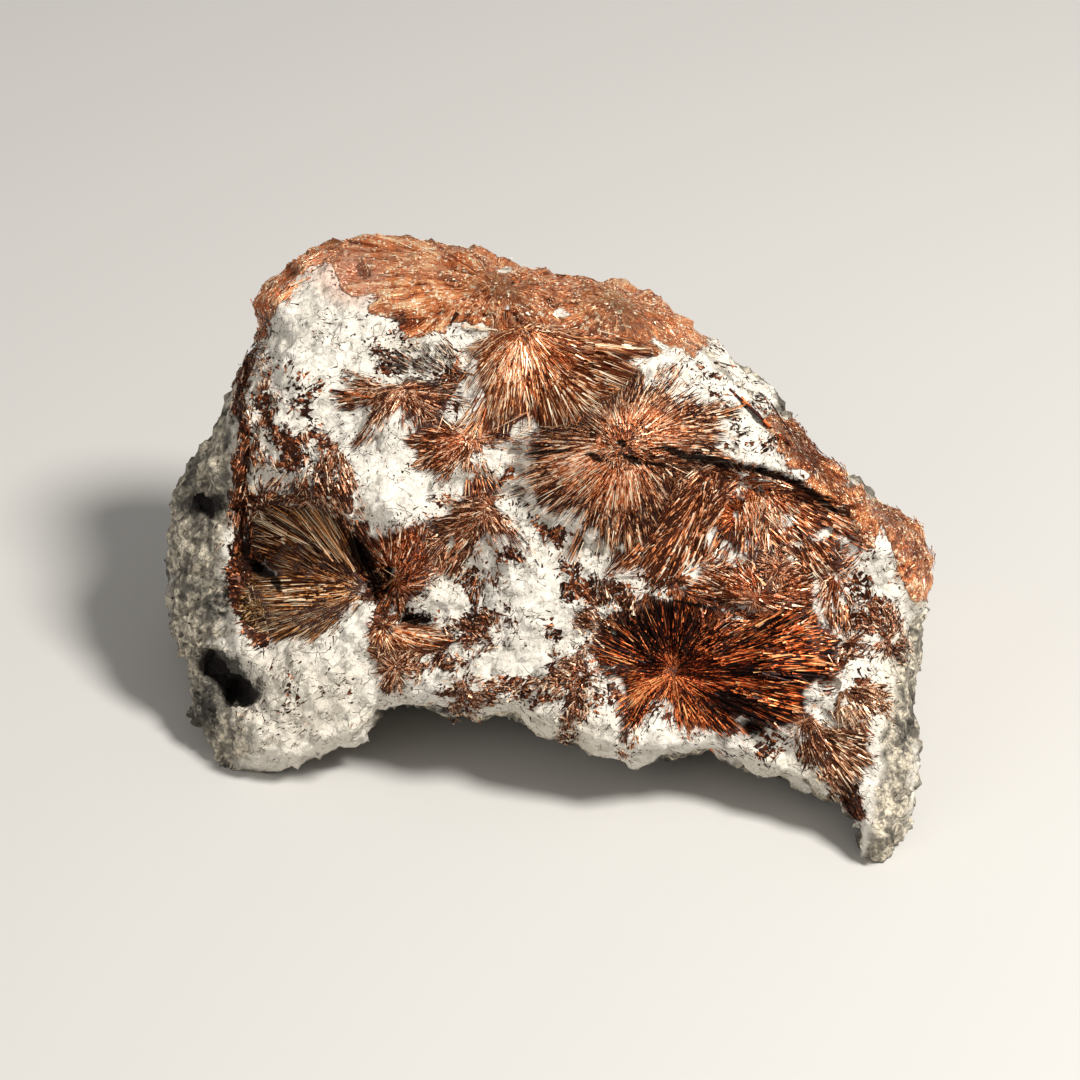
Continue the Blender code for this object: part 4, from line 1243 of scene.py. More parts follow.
def ray_noise(board, place, source):
    """Noise from -1 to 1 that changes only with the direction from the source: broad rays, fine rays."""
    outwards = away_from(board, place, source)
    ray = ray_point(board, outwards, source)
    broad = board.noise(ray, BROAD_RAYS, 2.0) * 2.0 - 1.0
    fine = board.noise(ray, FINE_RAYS, 1.0) * 2.0 - 1.0
    return outwards, broad, fine


def ragged_depth(depth, jagged, broad, fine):
    """How deep a place lies inside its fan, once the rim is broken up by the rays."""
    return depth + jagged * (broad * 0.55 + fine * 0.65)


def warped(board, place, clouds, reach):
    """A place moved by the colour of some clouds."""
    return board.vector("ADD", place, board.vector("SCALE", board.out(clouds, "Color"), Scale=reach))


def crack_lines(board, place, size):
    """The distance to the nearest crack between cells of that size."""
    return board.add(
        "ShaderNodeTexVoronoi", {"feature": "DISTANCE_TO_EDGE"}, {"Vector": place, "Scale": 1.0 / size}
    )


def cell_values(board, place, size, weights):
    """A value for each cell of that size: its random colour, weighed by channel."""
    cells = board.add("ShaderNodeTexVoronoi", None, {"Vector": place, "Scale": 1.0 / size}, "Color")
    return board.vector("DOT_PRODUCT", cells, weights, output="Value")


def tilted_facets(board, place, size):
    """Height in metres of small flat faces, each one tilted its own way."""
    cells = board.add("ShaderNodeTexVoronoi", None, {"Vector": place, "Scale": 1.0 / size}, "Color")
    away = board.vector("SUBTRACT", place, board.out(cells, "Position"))
    return board.vector("DOT_PRODUCT", away, board.vector("SUBTRACT", cells, HALF), output="Value")


def skin_tree():
    """Lumps, broken faces and grains of the rock's skin, and folds of the bronze film."""
    board, given = new_tree(
        "albite_skin_relief",
        [("Lump Height", "Float"), ("Grain Height", "Float"), ("Material", "Material")],
    )
    place = board.add("GeometryNodeInputPosition")
    stain = named(board, "depth").eased(-2.0, 6.0)
    bronze, wall = named(board, "bronze"), named(board, "wall")
    lumps = board.noise(place, LUMP_SIZE, 4.0, 0.6) - 0.5
    grains = board.noise(place, GRAIN_SIZE, 3.0, 0.7) - 0.5
    creases = board.noise(place, CREASE_SIZE, 3.0, 0.6) * 2.0 - 1.0
    creases = creases.most(0.0 - creases)
    blocks = crack_lines(board, warped(board, place, board.noise(place, 0.008), 0.006), BLOCK_SIZE)
    blocks = blocks.least(0.18) * 3.0 - 0.3
    large_facets = tilted_facets(board, place, LARGE_FACET)
    small_facets = tilted_facets(board, place, SMALL_FACET)
    calm = 1.0 - 0.6 * stain.most(bronze * 1.2).least(1.0)
    lumps = lumps * (1.6 + 0.6 * wall) + blocks * (0.25 + 0.5 * wall) + creases * 1.2 - 0.3
    height = given["Lump Height"] * lumps
    height = height + large_facets * (0.32 + 0.38 * wall) + small_facets * 0.22
    height = (height + given["Grain Height"] * grains * (2.2 + 0.7 * wall)) * calm
    height = height + named(board, "flow") * FLOW_HEIGHT
    source = named(board, "source", "FLOAT_VECTOR")
    ray = ray_point(board, away_from(board, place, source), source)
    folds = board.noise(ray, FOLD_SPREAD, 2.0, 0.6) - 0.5
    height = height + folds * bronze * (0.0015 + 0.0032 * named(board, "share"))
    normal = board.add("GeometryNodeInputNormal")
    raised = board.vector("ADD", place, board.vector("SCALE", normal, Scale=height))
    raised = board.vector("MAXIMUM", raised, (-1.0, -1.0, 0.0))
    moved = board.add("GeometryNodeSetPosition", None, {"Geometry": given["Geometry"], "Position": raised})
    smooth = board.add("GeometryNodeSetShadeSmooth", None, {"Geometry": moved, "Shade Smooth": True})
    finish_tree(board, smooth, given["Material"])
    return board.tree


def lath_shade(board, given, place, broad, fine, lift):
    """How light each lath is: about 0 for the darkest, 1 for golden and more for the few with a painted
    glint.
    """
    seed, variety, share = given["Seed"], given["Variety"], named(board, "share")
    shade = fine * 0.50 + broad * 0.50 + spread_value(board, -0.55, 0.55, seed + 19) * variety + 0.54
    # Lower laths darker and upper ones lighter: painted shade among the laths; the tufts are tone
    shade = shade + (lift - 0.3) * 0.10 + (board.noise(place, TUFT_SIZE, 2.0) - 0.5) * 0.9
    # A few laths get a painted glint
    shade = shade + spread_value(board, 0.0, 1.0, seed + 29).eased(0.86, 1.0) * variety * 0.8
    shade = shade - spread_value(board, 0.0, 1.0, seed + 31).eased(0.80, 1.0) * 0.6
    # Adds the painted highlights and shade of the listed zones
    return shade + named(board, "painted_light_and_tone") - named(board, "opened") * share * 0.12


def lath_heading(board, given, place, outwards, upwards):
    """Where each lath points: away from the source, a little astray, and pressed flat by the flatness."""
    matted = (0.5 - named(board, "share")).most(0.0) * 2.0
    tangle = given["Spread"] * (1.0 + given["Matting"] * matted)
    strayed = board.vector("ADD", outwards, spread_vector(board, tangle, given["Seed"] + 5))
    bend = board.vector("SCALE", wandering(board, place, 0.009), Scale=given["Wave"])
    strayed = board.vector("ADD", strayed, bend)
    steep = board.vector("DOT_PRODUCT", strayed, upwards, output="Value") * given["Flatness"]
    return board.vector("SUBTRACT", strayed, board.vector("SCALE", upwards, Scale=steep))


def lath_span(board, given, place, source):
    """How long each lath is: longer near the rim, and never past its fan's middle or over white rock."""
    share = named(board, "share")
    span = given["Length"] * spread_value(board, 0.35, 1.3, given["Seed"] + 11) * (0.15 + 1.05 * share)
    distance = board.vector("LENGTH", board.vector("SUBTRACT", place, source), output="Value")
    span = span.least((distance * 0.96 - given["Hub"]).most(SHORTEST_LATH))
    return span.least(named(board, "free") + SHORTEST_LATH / 2)


def lath_tree():
    """Laths that radiate from the source kept on the surface and end where the surface is."""
    board, given = new_tree(
        "astrophyllite_laths",
        [
            ("Length", "Float"), ("Width", "Float"), ("Thickness", "Float"), ("Density", "Float"),
            ("Layer", "Float"), ("Spread", "Float"), ("Roll", "Float"), ("Flatness", "Float"),
            ("Wave", "Float"), ("Variety", "Float"), ("Matting", "Float"), ("Hub", "Float"), ("Seed", "Int"),
            ("Material", "Material"),
        ],
    )
    seed = given["Seed"]
    points, normal = scattered(board, given, given["Density"])
    place = board.add("GeometryNodeInputPosition")
    source, share = named(board, "source", "FLOAT_VECTOR"), named(board, "share")
    outwards, broad, fine = ray_noise(board, place, source)
    inside = ragged_depth(named(board, "depth"), named(board, "jagged"), broad, fine) - 1.0
    edge = inside.least(named(board, "clear") + fine * 4.0)
    thinned = spread_value(board, 0.0, 1.0, seed + 37).eased(0.05, 0.65)
    thinned = thinned * named(board, "opened") * RIM_REACH
    off = board.add(
        "FunctionNodeCompare", {"data_type": "FLOAT", "operation": "LESS_THAN"},
        {0: edge, 1: spread_value(board, -7.0, 3.0, seed + 2) + thinned},
    )
    kept = board.add(
        "GeometryNodeDeleteGeometry", {"domain": "POINT"}, {"Geometry": points, "Selection": off}
    )
    kept = kept_on(board, kept, {"upwards": normal}, "FLOAT_VECTOR")
    lift = spread_value(board, -0.4, 1.0, seed + 3)
    kept = kept_on(board, kept, {
        "shade": lath_shade(board, given, place, broad, fine, lift),
        "reach": share,
        "span": lath_span(board, given, place, source),
        "lift": lift,
    })
    upwards = named(board, "upwards", "FLOAT_VECTOR")
    heading = lath_heading(board, given, place, outwards, upwards)
    rise = named(board, "lift") * given["Layer"] * (0.5 + 0.5 * share)
    size = board.add(
        "ShaderNodeCombineXYZ", None,
        {
            0: named(board, "span"),
            1: given["Width"] * spread_value(board, 0.5, 1.4, seed + 13) * (0.6 + 0.6 * share),
            2: given["Thickness"] * spread_value(board, 0.6, 1.4, seed + 17),
        },
    )
    placed = board.add(
        "GeometryNodeInstanceOnPoints", None,
        {
            "Points": kept, "Instance": blade(board, 0.65, -1.0), "Scale": size,
            "Rotation": laid_along(board, heading, upwards, given["Roll"], seed + 7),
        },
    )
    raised = board.vector("SCALE", upwards, Scale=rise)
    lifted = board.add(
        "GeometryNodeTranslateInstances", None,
        {"Instances": placed, "Translation": raised, "Local Space": False},
    )
    finish_tree(board, lifted, given["Material"])
    return board.tree


def fleck_tree():
    """Short laths that lie on the surface, those near each other roughly side by side."""
    board, given = new_tree(
        "loose_flecks",
        [
            ("Length", "Float"), ("Width", "Float"), ("Thickness", "Float"), ("Density", "Float"),
            ("Lift", "Float"), ("Seed", "Int"), ("Material", "Material"),
        ],
    )
    seed = given["Seed"]
    points, normal = scattered(board, given, given["Density"] * named(board, "flecks"))
    place = board.add("GeometryNodeInputPosition")
    outwards = away_from(board, place, named(board, "source", "FLOAT_VECTOR"))
    heading = board.vector("SCALE", wandering(board, place, 0.006), Scale=3.2)
    heading = board.vector("ADD", heading, spread_vector(board, 0.5, seed + 5))
    heading = board.vector("ADD", heading, board.vector("SCALE", outwards, Scale=0.9))
    lying = board.vector("CROSS_PRODUCT", normal, board.vector("CROSS_PRODUCT", heading, normal))
    span = given["Length"] * spread_value(board, 0.15, 1.0, seed + 11)
    size = board.add(
        "ShaderNodeCombineXYZ", None,
        {
            0: span * spread_value(board, 0.3, 1.6, seed + 12),
            1: given["Width"] * spread_value(board, 0.4, 1.7, seed + 13),
            2: given["Thickness"],
        },
    )
    lift = board.vector("SCALE", normal, Scale=given["Lift"])
    kept = board.add("GeometryNodeSetPosition", None, {"Geometry": points, "Offset": lift})
    kept = kept_on(board, kept, {
        "shade": spread_value(board, -0.25, 0.75, seed + 19),
        "reach": spread_value(board, 0.3, 1.0, seed + 23),
    })
    placed = board.add(
        "GeometryNodeInstanceOnPoints", None,
        {
            "Points": kept, "Instance": blade(board, 0.75, -0.5), "Scale": size,
            "Rotation": laid_along(board, lying, normal, 0.25, seed + 7),
        },
    )
    finish_tree(board, placed, given["Material"])
    return board.tree


def new_material(name):
    """An empty Principled material: the material, its board and its shader."""
    made = bpy.data.materials.new(name)
    made.use_nodes = True
    board = Board(made.node_tree)
    return made, board, made.node_tree.nodes["Principled BSDF"]


def join(board, wire, shader, name):
    """Links a wire to the shader's input of that name."""
    board.tree.links.new(wire.socket, shader.inputs[name])


def streaks_of(board, place, size):
    """Fine streaks from 0 to 1 that run away from the source kept on the surface."""
    source = board.attribute("source", "Vector")
    ray = ray_point(board, away_from(board, place, source), source)
    return board.noise(ray, size, 2.0, 0.6)


def fresh_albite(board, settings, place, clouds, mottle):
    """The colour of fresh albite, and how split it is by thin brown cracks."""
    dulled = board.attribute("beige") * 0.8 + clouds.eased(0.48, 0.78) * 0.3
    fresh = board.blend(dulled.least(1.0), tuple(settings.white), tuple(settings.cream))
    fresh = board.blend(mottle.eased(0.52, 0.76) * 0.20, fresh, DULL_MOTTLE)
    flakes = cell_values(board, warped(board, place, mottle, 0.002), 0.0017, (0.5, 0.5, 0.0))
    fresh = board.blend(flakes.eased(0.45, 0.95) * 0.40, fresh, DULL_FLAKE)
    split = crack_lines(board, warped(board, place, clouds, 0.010), 0.0032)
    split = (1.0 - split.eased(0.0, 0.040)) * mottle.eased(0.46, 0.60)
    fresh = board.blend(split * 0.75, fresh, CRACK_BROWN)
    pits = (board.noise(place, 0.0009, 2.0, 0.6) * 0.55 + clouds * 0.45).eased(0.60, 0.68)
    return board.blend(pits * 0.7, fresh, PIT_BROWN), split


def weathered_albite(board, settings, place, clouds, mottle):
    """The colour of the grey, specked and smudged albite of the sides."""
    pale = (mottle * 0.6 + clouds * 0.4).eased(0.42, 0.56)
    weathered = board.blend(pale, tuple(settings.grey), PALE_WEATHERED)
    specks = board.noise(place, 0.0016, 2.0, 0.6) * 0.5 + mottle * 0.25 + clouds * 0.25
    weathered = board.blend(specks.eased(0.48, 0.58) * 0.70, weathered, tuple(settings.dark))
    smudges = board.noise(place, 0.013, 4.0, 0.62).eased(0.50, 0.62)
    return board.blend(smudges * 0.85, weathered, SMUDGE)


def bronze_film(board, place, clouds, mottle, streaks, bundles):
    """The colour of the bronze film: silky streaks, partly its own tone and partly painted sheen and shade,
    with small painted glints.
    """
    folds = streaks_of(board, place, FOLD_SPREAD)
    silk = (streaks - 0.5) * 0.8 + (bundles - 0.5) * 1.3 + (folds - 0.5) * 1.0 + (mottle - 0.5) * 0.5
    # Painted highlights and shade on the film, from the listed zones and its waves
    silk = silk + 0.50 + board.attribute("painted_light_and_tone") * 0.28
    film = board.blend(silk.eased(0.12, 0.32), FILM_SHADOW, FILM_BROWN)
    film = board.blend(silk.eased(0.30, 0.54), film, FILM_BRONZE)
    film = board.blend((clouds - mottle * 0.4).eased(0.24, 0.40) * 0.45, film, FILM_ROSY)
    film = board.blend(silk.eased(0.56, 0.78), film, FILM_GOLD)
    painted_glints = cell_values(board, place, 0.0006, (0.6, 0.4, 0.0)) + (silk - 0.5) * 0.25
    painted_glints = painted_glints + (board.noise(place, 0.0035, 2.0) - 0.5) * 0.9
    return board.blend(painted_glints.eased(0.79, 0.85), film, FILM_PAINTED_GLINT)


def albite_material(settings):
    """White albite: grey on its sides, brown under the sprays from a stain and painted shade, bronze under a
    film, with painted shadows.
    """
    made, board, shader = new_material("albite")
    place = board.add("ShaderNodeTexCoord", None, None, "Object")
    clouds = board.noise(place, 0.014, 4.0, 0.6)
    grain = board.noise(place, 0.0011, 3.0, 0.7)
    mottle = board.noise(place, 0.0038, 4.0, 0.65)
    edge = (mottle - 0.5) * 0.9 + (grain - 0.5) * 0.5

    fresh, split = fresh_albite(board, settings, place, clouds, mottle)
    wall = (board.attribute("wall") + (mottle - 0.5) * 0.9).eased(0.25, 0.85)
    rock = board.blend(wall, fresh, weathered_albite(board, settings, place, clouds, mottle))

    _, broad_rays, fine_rays = ray_noise(board, place, board.attribute("source", "Vector"))
    inside = ragged_depth(board.attribute("depth"), board.attribute("jagged"), broad_rays, fine_rays)
    inside = (inside - 20.0 * board.attribute("opened")).least(board.attribute("clear"))
    # Brown under the sprays: a stain, and painted shade in the gaps between the laths
    stain_and_shade = (inside + edge * 9.0).eased(1.5, 5.5)
    stain_and_shade = stain_and_shade.most((board.attribute("brown") + edge).eased(0.42, 0.66) * 0.92)
    streaks = streaks_of(board, place, STREAK_SPREAD)
    bundles = streaks_of(board, place, BUNDLE_SPREAD)
    under = board.blend(streaks.eased(0.40, 0.7), tuple(settings.brown), STAIN_STREAKS)
    filmed = (board.attribute("bronze") + edge * 1.1).eased(0.30, 0.55)
    coloured = board.blend(stain_and_shade, rock, under)
    coloured = board.blend(filmed, coloured, bronze_film(board, place, clouds, mottle, streaks, bundles))

    # Painted shadow on the ground
    painted_shadow = (board.attribute("painted_shadow") + (mottle - 0.5) * 1.6 + (grain - 0.5) * 1.2).eased(0.30, 0.75)
    coloured = board.blend(painted_shadow * 0.9, coloured, PAINTED_SHADOW_BLACK)
    coloured = board.blend((board.attribute("blush") * 1.1).least(0.5), coloured, BLUSH_PINK)
    # Painted shade in the carved hollows and cracks
    coloured = board.blend(board.attribute("carved").eased(1.1, 2.8), coloured, HOLLOW_PAINTED_SHADE)
    join(board, coloured, shader, "Base Color")
    join(board, 0.78 - 0.50 * filmed - 0.1 * stain_and_shade + 0.12 * (grain - 0.5), shader, "Roughness")
    join(board, filmed * 0.40, shader, "Metallic")

    height = grain * 0.00040 + mottle * 0.00012
    height = height + tilted_facets(board, place, SMALL_FACET) * (0.40 + 0.25 * wall)
    height = height + tilted_facets(board, place, TINY_FACET) * 0.6 - split * 0.0003
    height = height * (1.0 - 0.72 * filmed) + (streaks * 0.0007 + bundles * 0.0016) * filmed
    bump = board.add("ShaderNodeBump", None, {"Strength": 1.0, "Distance": 1.0, "Height": height})
    join(board, bump, shader, "Normal")
    return made


def painted_gap_shadow(board, place, grain):
    """1 inside the painted shadows of the holes and gaps of the display face, and 0 elsewhere."""
    offset = board.vector("SUBTRACT", place, tuple(FACE_MIDDLE))
    nearer = 1.0 - board.vector("DOT_PRODUCT", offset, tuple(TOWARDS_EYE), output="Value") / EYE_DISTANCE
    over = board.vector("DOT_PRODUCT", offset, tuple(FACE_UP), output="Value") / nearer * (-1 / PICTURE_UNIT)
    along = board.vector("DOT_PRODUCT", offset, (1.0, 0.0, 0.0), output="Value") / nearer * (1 / PICTURE_UNIT)
    point = board.add("ShaderNodeCombineXYZ", None, {0: along, 1: over, 2: 1.0})
    best = None
    for across, down, wide, high, turn in PAINTED_GAP_SHADOWS:
        across, down, turn = across - PICTURE_MIDDLE, down - PICTURE_MIDDLE, math.radians(turn)
        cosine, sine = math.cos(turn), math.sin(turn)
        run = (cosine / wide, sine / wide, -(across * cosine + down * sine) / wide)
        rise = (-sine / high, cosine / high, (across * sine - down * cosine) / high)
        run = board.vector("DOT_PRODUCT", point, run, output="Value")
        rise = board.vector("DOT_PRODUCT", point, rise, output="Value")
        gap = run * run + rise * rise
        best = gap if best is None else best.least(gap)
    return 1.0 - (best + (grain - 0.5) * 2.2).eased(0.5, 1.4)


def lath_material(name, dark, bronze, gold, tip, glint=USUAL_GLINT):
    """Astrophyllite: each lath has its own shade, and a spray's outer ends turn to the tip colour. The
    lightest take a painted glint, and the listed gaps a painted shadow.
    """
    made, board, shader = new_material(name)
    place = board.add("ShaderNodeTexCoord", None, None, "Object")
    grain = board.noise(place, 0.0012, 2.0, 0.6)
    shade = board.attribute("shade") + (grain - 0.5) * 0.25 + (streaks_of(board, place, 0.030) - 0.5) * 3.0
    body = board.blend(shade.eased(0.12, 0.58), dark, bronze)
    body = board.blend(shade.eased(0.60, 0.92), body, gold)
    # Painted glint on the lightest laths
    body = board.blend(shade.eased(0.98, 1.20), body, glint)
    ends = board.attribute("reach").eased(0.56, 0.96) * (1.0 - shade.eased(0.62, 0.95)) * 0.9
    body = board.blend(ends, body, tip)
    body = board.blend(painted_gap_shadow(board, place, grain) * 0.95, body, PAINTED_GAP_BLACK)
    join(board, body, shader, "Base Color")
    join(board, 0.30 + 0.22 * grain, shader, "Roughness")
    shader.inputs["Metallic"].default_value = LATH_METALLIC
    shader.inputs["Specular IOR Level"].default_value = LATH_SPECULAR
    return made


def dressed(piece, slot, *nodes):
    """Hangs a finished piece on the root and hides the solids that it stands in for. The slot is not used."""
    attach(piece, "root")
    if nodes:
        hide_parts(*nodes)


def make_rock(settings):
    """The skin of the rock, carved, marked, roughened and coloured."""
    skin = skin_blank(settings.cell)
    only_outer_shell(skin.data)
    carve(skin.data)
    mark_skin(skin.data)
    values = {
        "Lump Height": settings.lump_height,
        "Grain Height": settings.grain_height,
        "Material": albite_material(settings),
    }
    skin = grow(skin, skin_tree(), values)
    dressed(skin, "albite", ROCK_NODE)


def spray_ground(skin, number, name, seen):
    """The patch of the skin that a fan grows on, with a strip of its neighbours, as an object."""
    across, down, facing, tree = seen
    mesh = skin.data.copy()
    depth, share, source = (recalled(mesh, key) for key in ("depth", "share", "source"))
    own = recalled(mesh, "owner") == number
    near, inside, out = fan_field(number, across, down, facing)
    beyond = inside - recalled(mesh, "deepest")[near]
    strip = ~own[near] & (beyond > -STRIP_WIDTH) & (depth[near] > 2)
    mine = own & (depth > -GROUND_MARGIN)
    mine[near[strip]] = True
    depth[near[strip]] = 0.5 * beyond[strip]
    share[near[strip]] = out[strip]
    source[near[strip]] = fan_source(tree, *FANS[number][-2:])
    for key, values in (("depth", depth), ("share", share), ("source", source)):
        renew(mesh, key, values)
    bm = bmesh.new()
    bm.from_mesh(mesh)
    gone = [face for face in bm.faces if not mine[face.verts[0].index]]
    bmesh.ops.delete(bm, geom=gone, context="FACES")
    bm.to_mesh(mesh)
    bm.free()
    mesh.materials.clear()
    return linked_object(name + "_laths", mesh)


def make_sprays(settings):
    """The laths of every fan, one piece a fan."""
    skin = bpy.data.objects["albite_skin"]
    _, across, down, facing = viewed(skin.data)
    seen = (across, down, facing, surface_tree(skin.data))
    tree = lath_tree()
    moods = {name: lath_material("astrophyllite_" + name, *colours) for name, colours in MOODS.items()}
    for number, (name, mood, crowding, _, lath_length, width, _, _, _) in enumerate(FANS):
        flatness, wave, variety, spread, matting, hub = HABITS.get(mood, USUAL_HABIT)
        values = {
            "Variety": variety,
            "Matting": matting,
            "Hub": hub * MM,
            "Flatness": flatness,
            "Wave": wave,
            "Length": lath_length * MM,
            "Width": settings.width * width / USUAL_WIDTH_MM,
            "Thickness": settings.thickness,
            "Density": settings.crowding * crowding / MM ** 2,
            "Layer": settings.layer * (CREST_LAYER if mood == "crest" else 1.0),
            "Spread": spread,
            "Roll": ROLL,
            "Seed": FIRST_SEED + SEED_STEP * number,
            "Material": moods[mood],
        }
        laths = grow(spray_ground(skin, number, name, seen), tree, values)
        dressed(laths, "astrophyllite", *([name] if name in SPRAY_NODES else []))


def fleck_ground(skin, name, flecks):
    """The part of the skin that flecks lie on, with how crowded they are at each point."""
    bm = bmesh.new()
    bm.from_mesh(skin.data)
    gone = [face for face in bm.faces if all(flecks[vert.index] <= 0 for vert in face.verts)]
    left = set(bm.faces) - set(gone)
    kept = sorted({vert.index for face in left for vert in face.verts})
    bmesh.ops.delete(bm, geom=gone, context="FACES")
    mesh = bpy.data.meshes.new(name + "_ground")
    bm.to_mesh(mesh)
    bm.free()
    store(mesh, "flecks", flecks[kept])
    return linked_object(name, mesh)


def make_flecks(settings):
    """Flecks and shards on the white rock, flecks and painted glints on the film, and long single laths."""
    skin = bpy.data.objects["albite_skin"]
    mesh = skin.data
    depth, bronze = recalled(mesh, "depth"), recalled(mesh, "bronze")
    brown, drift = recalled(mesh, "brown"), recalled(mesh, "drift")
    brown_flecks = (drift + np.clip((brown - 0.25) * 2, 0, 1)) * (1 - bronze) * (depth < 4)
    clusters = np.clip(0.10 + 2.2 * rough(verts_of(mesh)[0], 0.0045, 12.0), 0, 1.5)
    # Where the pale flakes of painted glints lie, in clusters on the film
    glints = np.clip(bronze * 2, 0, 1) * recalled(mesh, "front") * clusters
    lath_material("astrophyllite_glint", *GLINT_COLOURS)
    tree = fleck_tree()
    # Each: piece, how crowded at each point, length, width, flecks on a square millimetre, mood
    sets = [
        ("brown_flecks", brown_flecks, settings.length, settings.width, 3.0, "grey"),
        ("brown_shards", np.clip(brown_flecks - 0.2, 0, 2), 0.0032, 0.0008, 7.0, "clump"),
        ("crest_flecks", np.clip((bronze - 0.2) * 2.5, 0, 1), 0.0016, 0.0003, 0.06, "crest"),
        ("glints", glints, 0.0008, 0.00036, 0.8, "glint"),
    ]
    for number, (name, flecks, long, wide, crowding, mood) in enumerate(sets):
        values = {
            "Length": long,
            "Width": wide,
            "Thickness": FLECK_THICKNESS,
            "Lift": GLINT_LIFT if mood == "glint" else 0.0,
            "Density": crowding / MM ** 2,
            "Seed": FLECK_SEED + number,
            "Material": bpy.data.materials["astrophyllite_" + mood],
        }
        dressed(grow(fleck_ground(skin, name, flecks), tree, values), "astrophyllite")
    make_long_laths()


def add_lath(bm, start, end, width):
    """A four-sided lath from one place to another, half as wide at its end."""
    side = (end - start).cross(TOWARDS_EYE).normalized() * width * MM / 2
    rise = TOWARDS_EYE * LONG_LATH_RISE
    rings = []
    for place, share in ((start, 1.0), (end, 0.5)):
        steps = (side * share, side * share * 0.6 + rise * 0.35, -side * share, rise * -1.2)
        rings.append([bm.verts.new(place + rise + step) for step in steps])
    for first in range(4):
        after = (first + 1) % 4
        bm.faces.new((rings[0][first], rings[0][after], rings[1][after], rings[1][first]))
    bm.faces.new(rings[0][::-1])
    bm.faces.new(rings[1])


def make_long_laths():
    """Single long laths that lie on the white slope and stand out of the sprays' edges."""
    tree = surface_tree(bpy.data.objects["albite_skin"].data)
    bm = bmesh.new()
    shades = []
    for *points, width, shade in LONG_LATHS:
        start, end = (seen_place(tree, *point) for point in points)
        if start is None or end is None:
            continue
        add_lath(bm, start, end, width)
        shades += [shade] * LONG_LATH_CORNERS
    bmesh.ops.recalc_face_normals(bm, faces=bm.faces[:])
    mesh = bpy.data.meshes.new("long_laths")
    bm.to_mesh(mesh)
    bm.free()
    store(mesh, "shade", np.array(shades))
    store(mesh, "reach", np.full(len(mesh.vertices), 0.3))
    mesh.materials.append(bpy.data.materials["astrophyllite_bronze"])
    dressed(linked_object("long_laths", mesh), "astrophyllite")


def make_camera():
    """The camera at the eye, looking squarely at the middle of the display face."""
    data = bpy.data.cameras.new("camera")
    data.sensor_width = SENSOR_MM
    data.lens = SENSOR_MM * EYE_DISTANCE / (PICTURE_SIZE * PICTURE_UNIT)
    camera = linked_object("camera", data)
    camera.location = EYE
    camera.rotation_euler = (-TOWARDS_EYE).to_track_quat("-Z", "Y").to_euler()
    bpy.context.scene.camera = camera


def area_light(name, place, size, tint, power):
    """A round light that shines on the specimen."""
    data = bpy.data.lights.new(name, "AREA")
    data.shape = "DISK"
    data.size = size
    data.energy = power
    data.color = tint
    light = linked_object(name, data)
    light.location = place
    light.rotation_euler = (Vector(LIT_POINT) - Vector(place)).to_track_quat("-Z", "Y").to_euler()


def make_floor(settings):
    """A wide, round, matt floor."""
    bm = bmesh.new()
    bmesh.ops.create_circle(bm, cap_ends=True, segments=96, radius=FLOOR_RADIUS)
    mesh = bpy.data.meshes.new("floor")
    bm.to_mesh(mesh)
    bm.free()
    floor = linked_object("floor", mesh)
    paper, _, shader = new_material("floor_paper")
    shader.inputs["Base Color"].default_value = (*settings.floor, 1)
    shader.inputs["Roughness"].default_value = 0.9
    floor.data.materials.append(paper)


def make_world():
    """Dim, even light from all sides, and plain colour management."""
    world = bpy.data.worlds.new("studio")
    world.use_nodes = True
    background = world.node_tree.nodes["Background"]
    background.inputs["Color"].default_value = (1.0, 0.98, 0.95, 1)
    background.inputs["Strength"].default_value = 0.30
    bpy.context.scene.world = world
    view = bpy.context.scene.view_settings
    view.view_transform = "Standard"
    view.look = "None"
    view.exposure = 0.0


class SPECIMEN_OT_rock(bpy.types.Operator):
    """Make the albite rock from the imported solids"""

    bl_idname = "specimen.rock"
    bl_label = "Rock"

    def execute(self, context):
        make_rock(context.scene.specimen_rock)
        return {"FINISHED"}


class SPECIMEN_OT_sprays(bpy.types.Operator):
    """Grow the laths of every spray on the rock"""

    bl_idname = "specimen.sprays"
    bl_label = "Sprays"

    def execute(self, context):
        make_sprays(context.scene.specimen_laths)
        return {"FINISHED"}


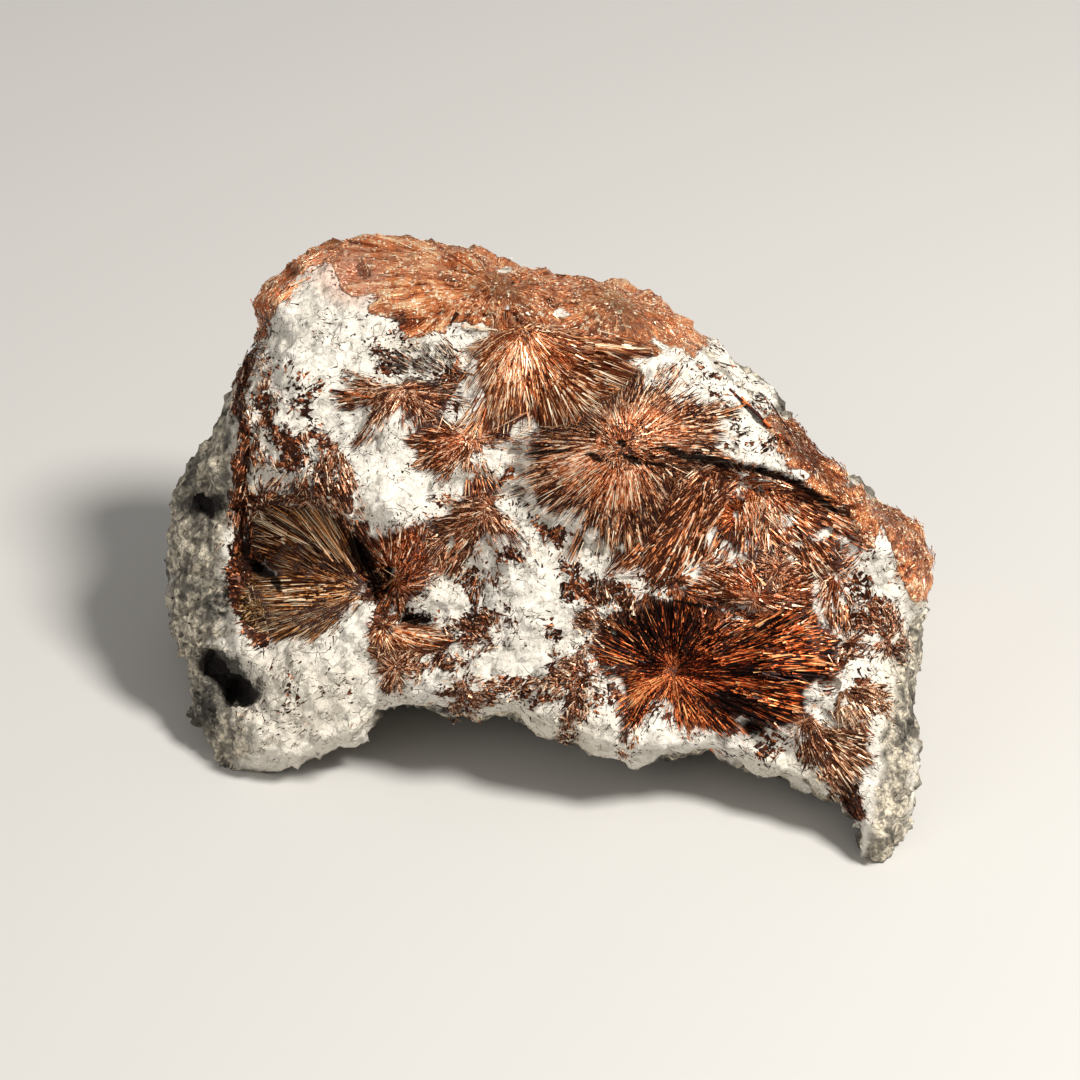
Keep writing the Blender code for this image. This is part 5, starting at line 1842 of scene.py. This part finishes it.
class SPECIMEN_OT_flecks(bpy.types.Operator):
    """Scatter loose flecks over the rock"""

    bl_idname = "specimen.flecks"
    bl_label = "Flecks"

    def execute(self, context):
        make_flecks(context.scene.specimen_flecks)
        return {"FINISHED"}


class SPECIMEN_OT_stage(bpy.types.Operator):
    """Make the camera, the floor and the lights"""

    bl_idname = "specimen.stage"
    bl_label = "Stage"

    def execute(self, context):
        settings = context.scene.specimen_stage
        make_camera()
        make_floor(settings)
        make_world()
        area_light("key_light", *KEY_LIGHT, settings.key_power)
        area_light("fill_light", *FILL_LIGHT, settings.fill_power)
        return {"FINISHED"}


class SPECIMEN_PT_panel(bpy.types.Panel):
    """Lists the specimen's pieces and their sizes"""

    bl_label = "Specimen"
    bl_space_type = "VIEW_3D"
    bl_region_type = "UI"
    bl_category = "Specimen"

    def draw(self, context):
        for operator, group in STEPS:
            box = self.layout.box()
            box.operator(operator.bl_idname)
            settings = getattr(context.scene, group)
            for name in settings.__annotations__:
                box.prop(settings, name)


SETTINGS = {
    "specimen_rock": RockSettings,
    "specimen_laths": LathSettings,
    "specimen_flecks": FleckSettings,
    "specimen_stage": StageSettings,
}
STEPS = [
    (SPECIMEN_OT_stage, "specimen_stage"),
    (SPECIMEN_OT_rock, "specimen_rock"),
    (SPECIMEN_OT_sprays, "specimen_laths"),
    (SPECIMEN_OT_flecks, "specimen_flecks"),
]
CLASSES = [*SETTINGS.values(), *(operator for operator, _ in STEPS), SPECIMEN_PT_panel]


def register():
    """Makes the settings, steps and panel known."""
    for item in CLASSES:
        bpy.utils.register_class(item)
    for name, group in SETTINGS.items():
        setattr(bpy.types.Scene, name, bpy.props.PointerProperty(type=group))


def unregister():
    """Takes them away again."""
    for name in SETTINGS:
        delattr(bpy.types.Scene, name)
    for item in reversed(CLASSES):
        bpy.utils.unregister_class(item)


def main():
    """Runs every step."""
    register()
    for operator, _ in STEPS:
        group, name = operator.bl_idname.split(".")
        getattr(getattr(bpy.ops, group), name)()


if __name__ == "__main__":
    main()
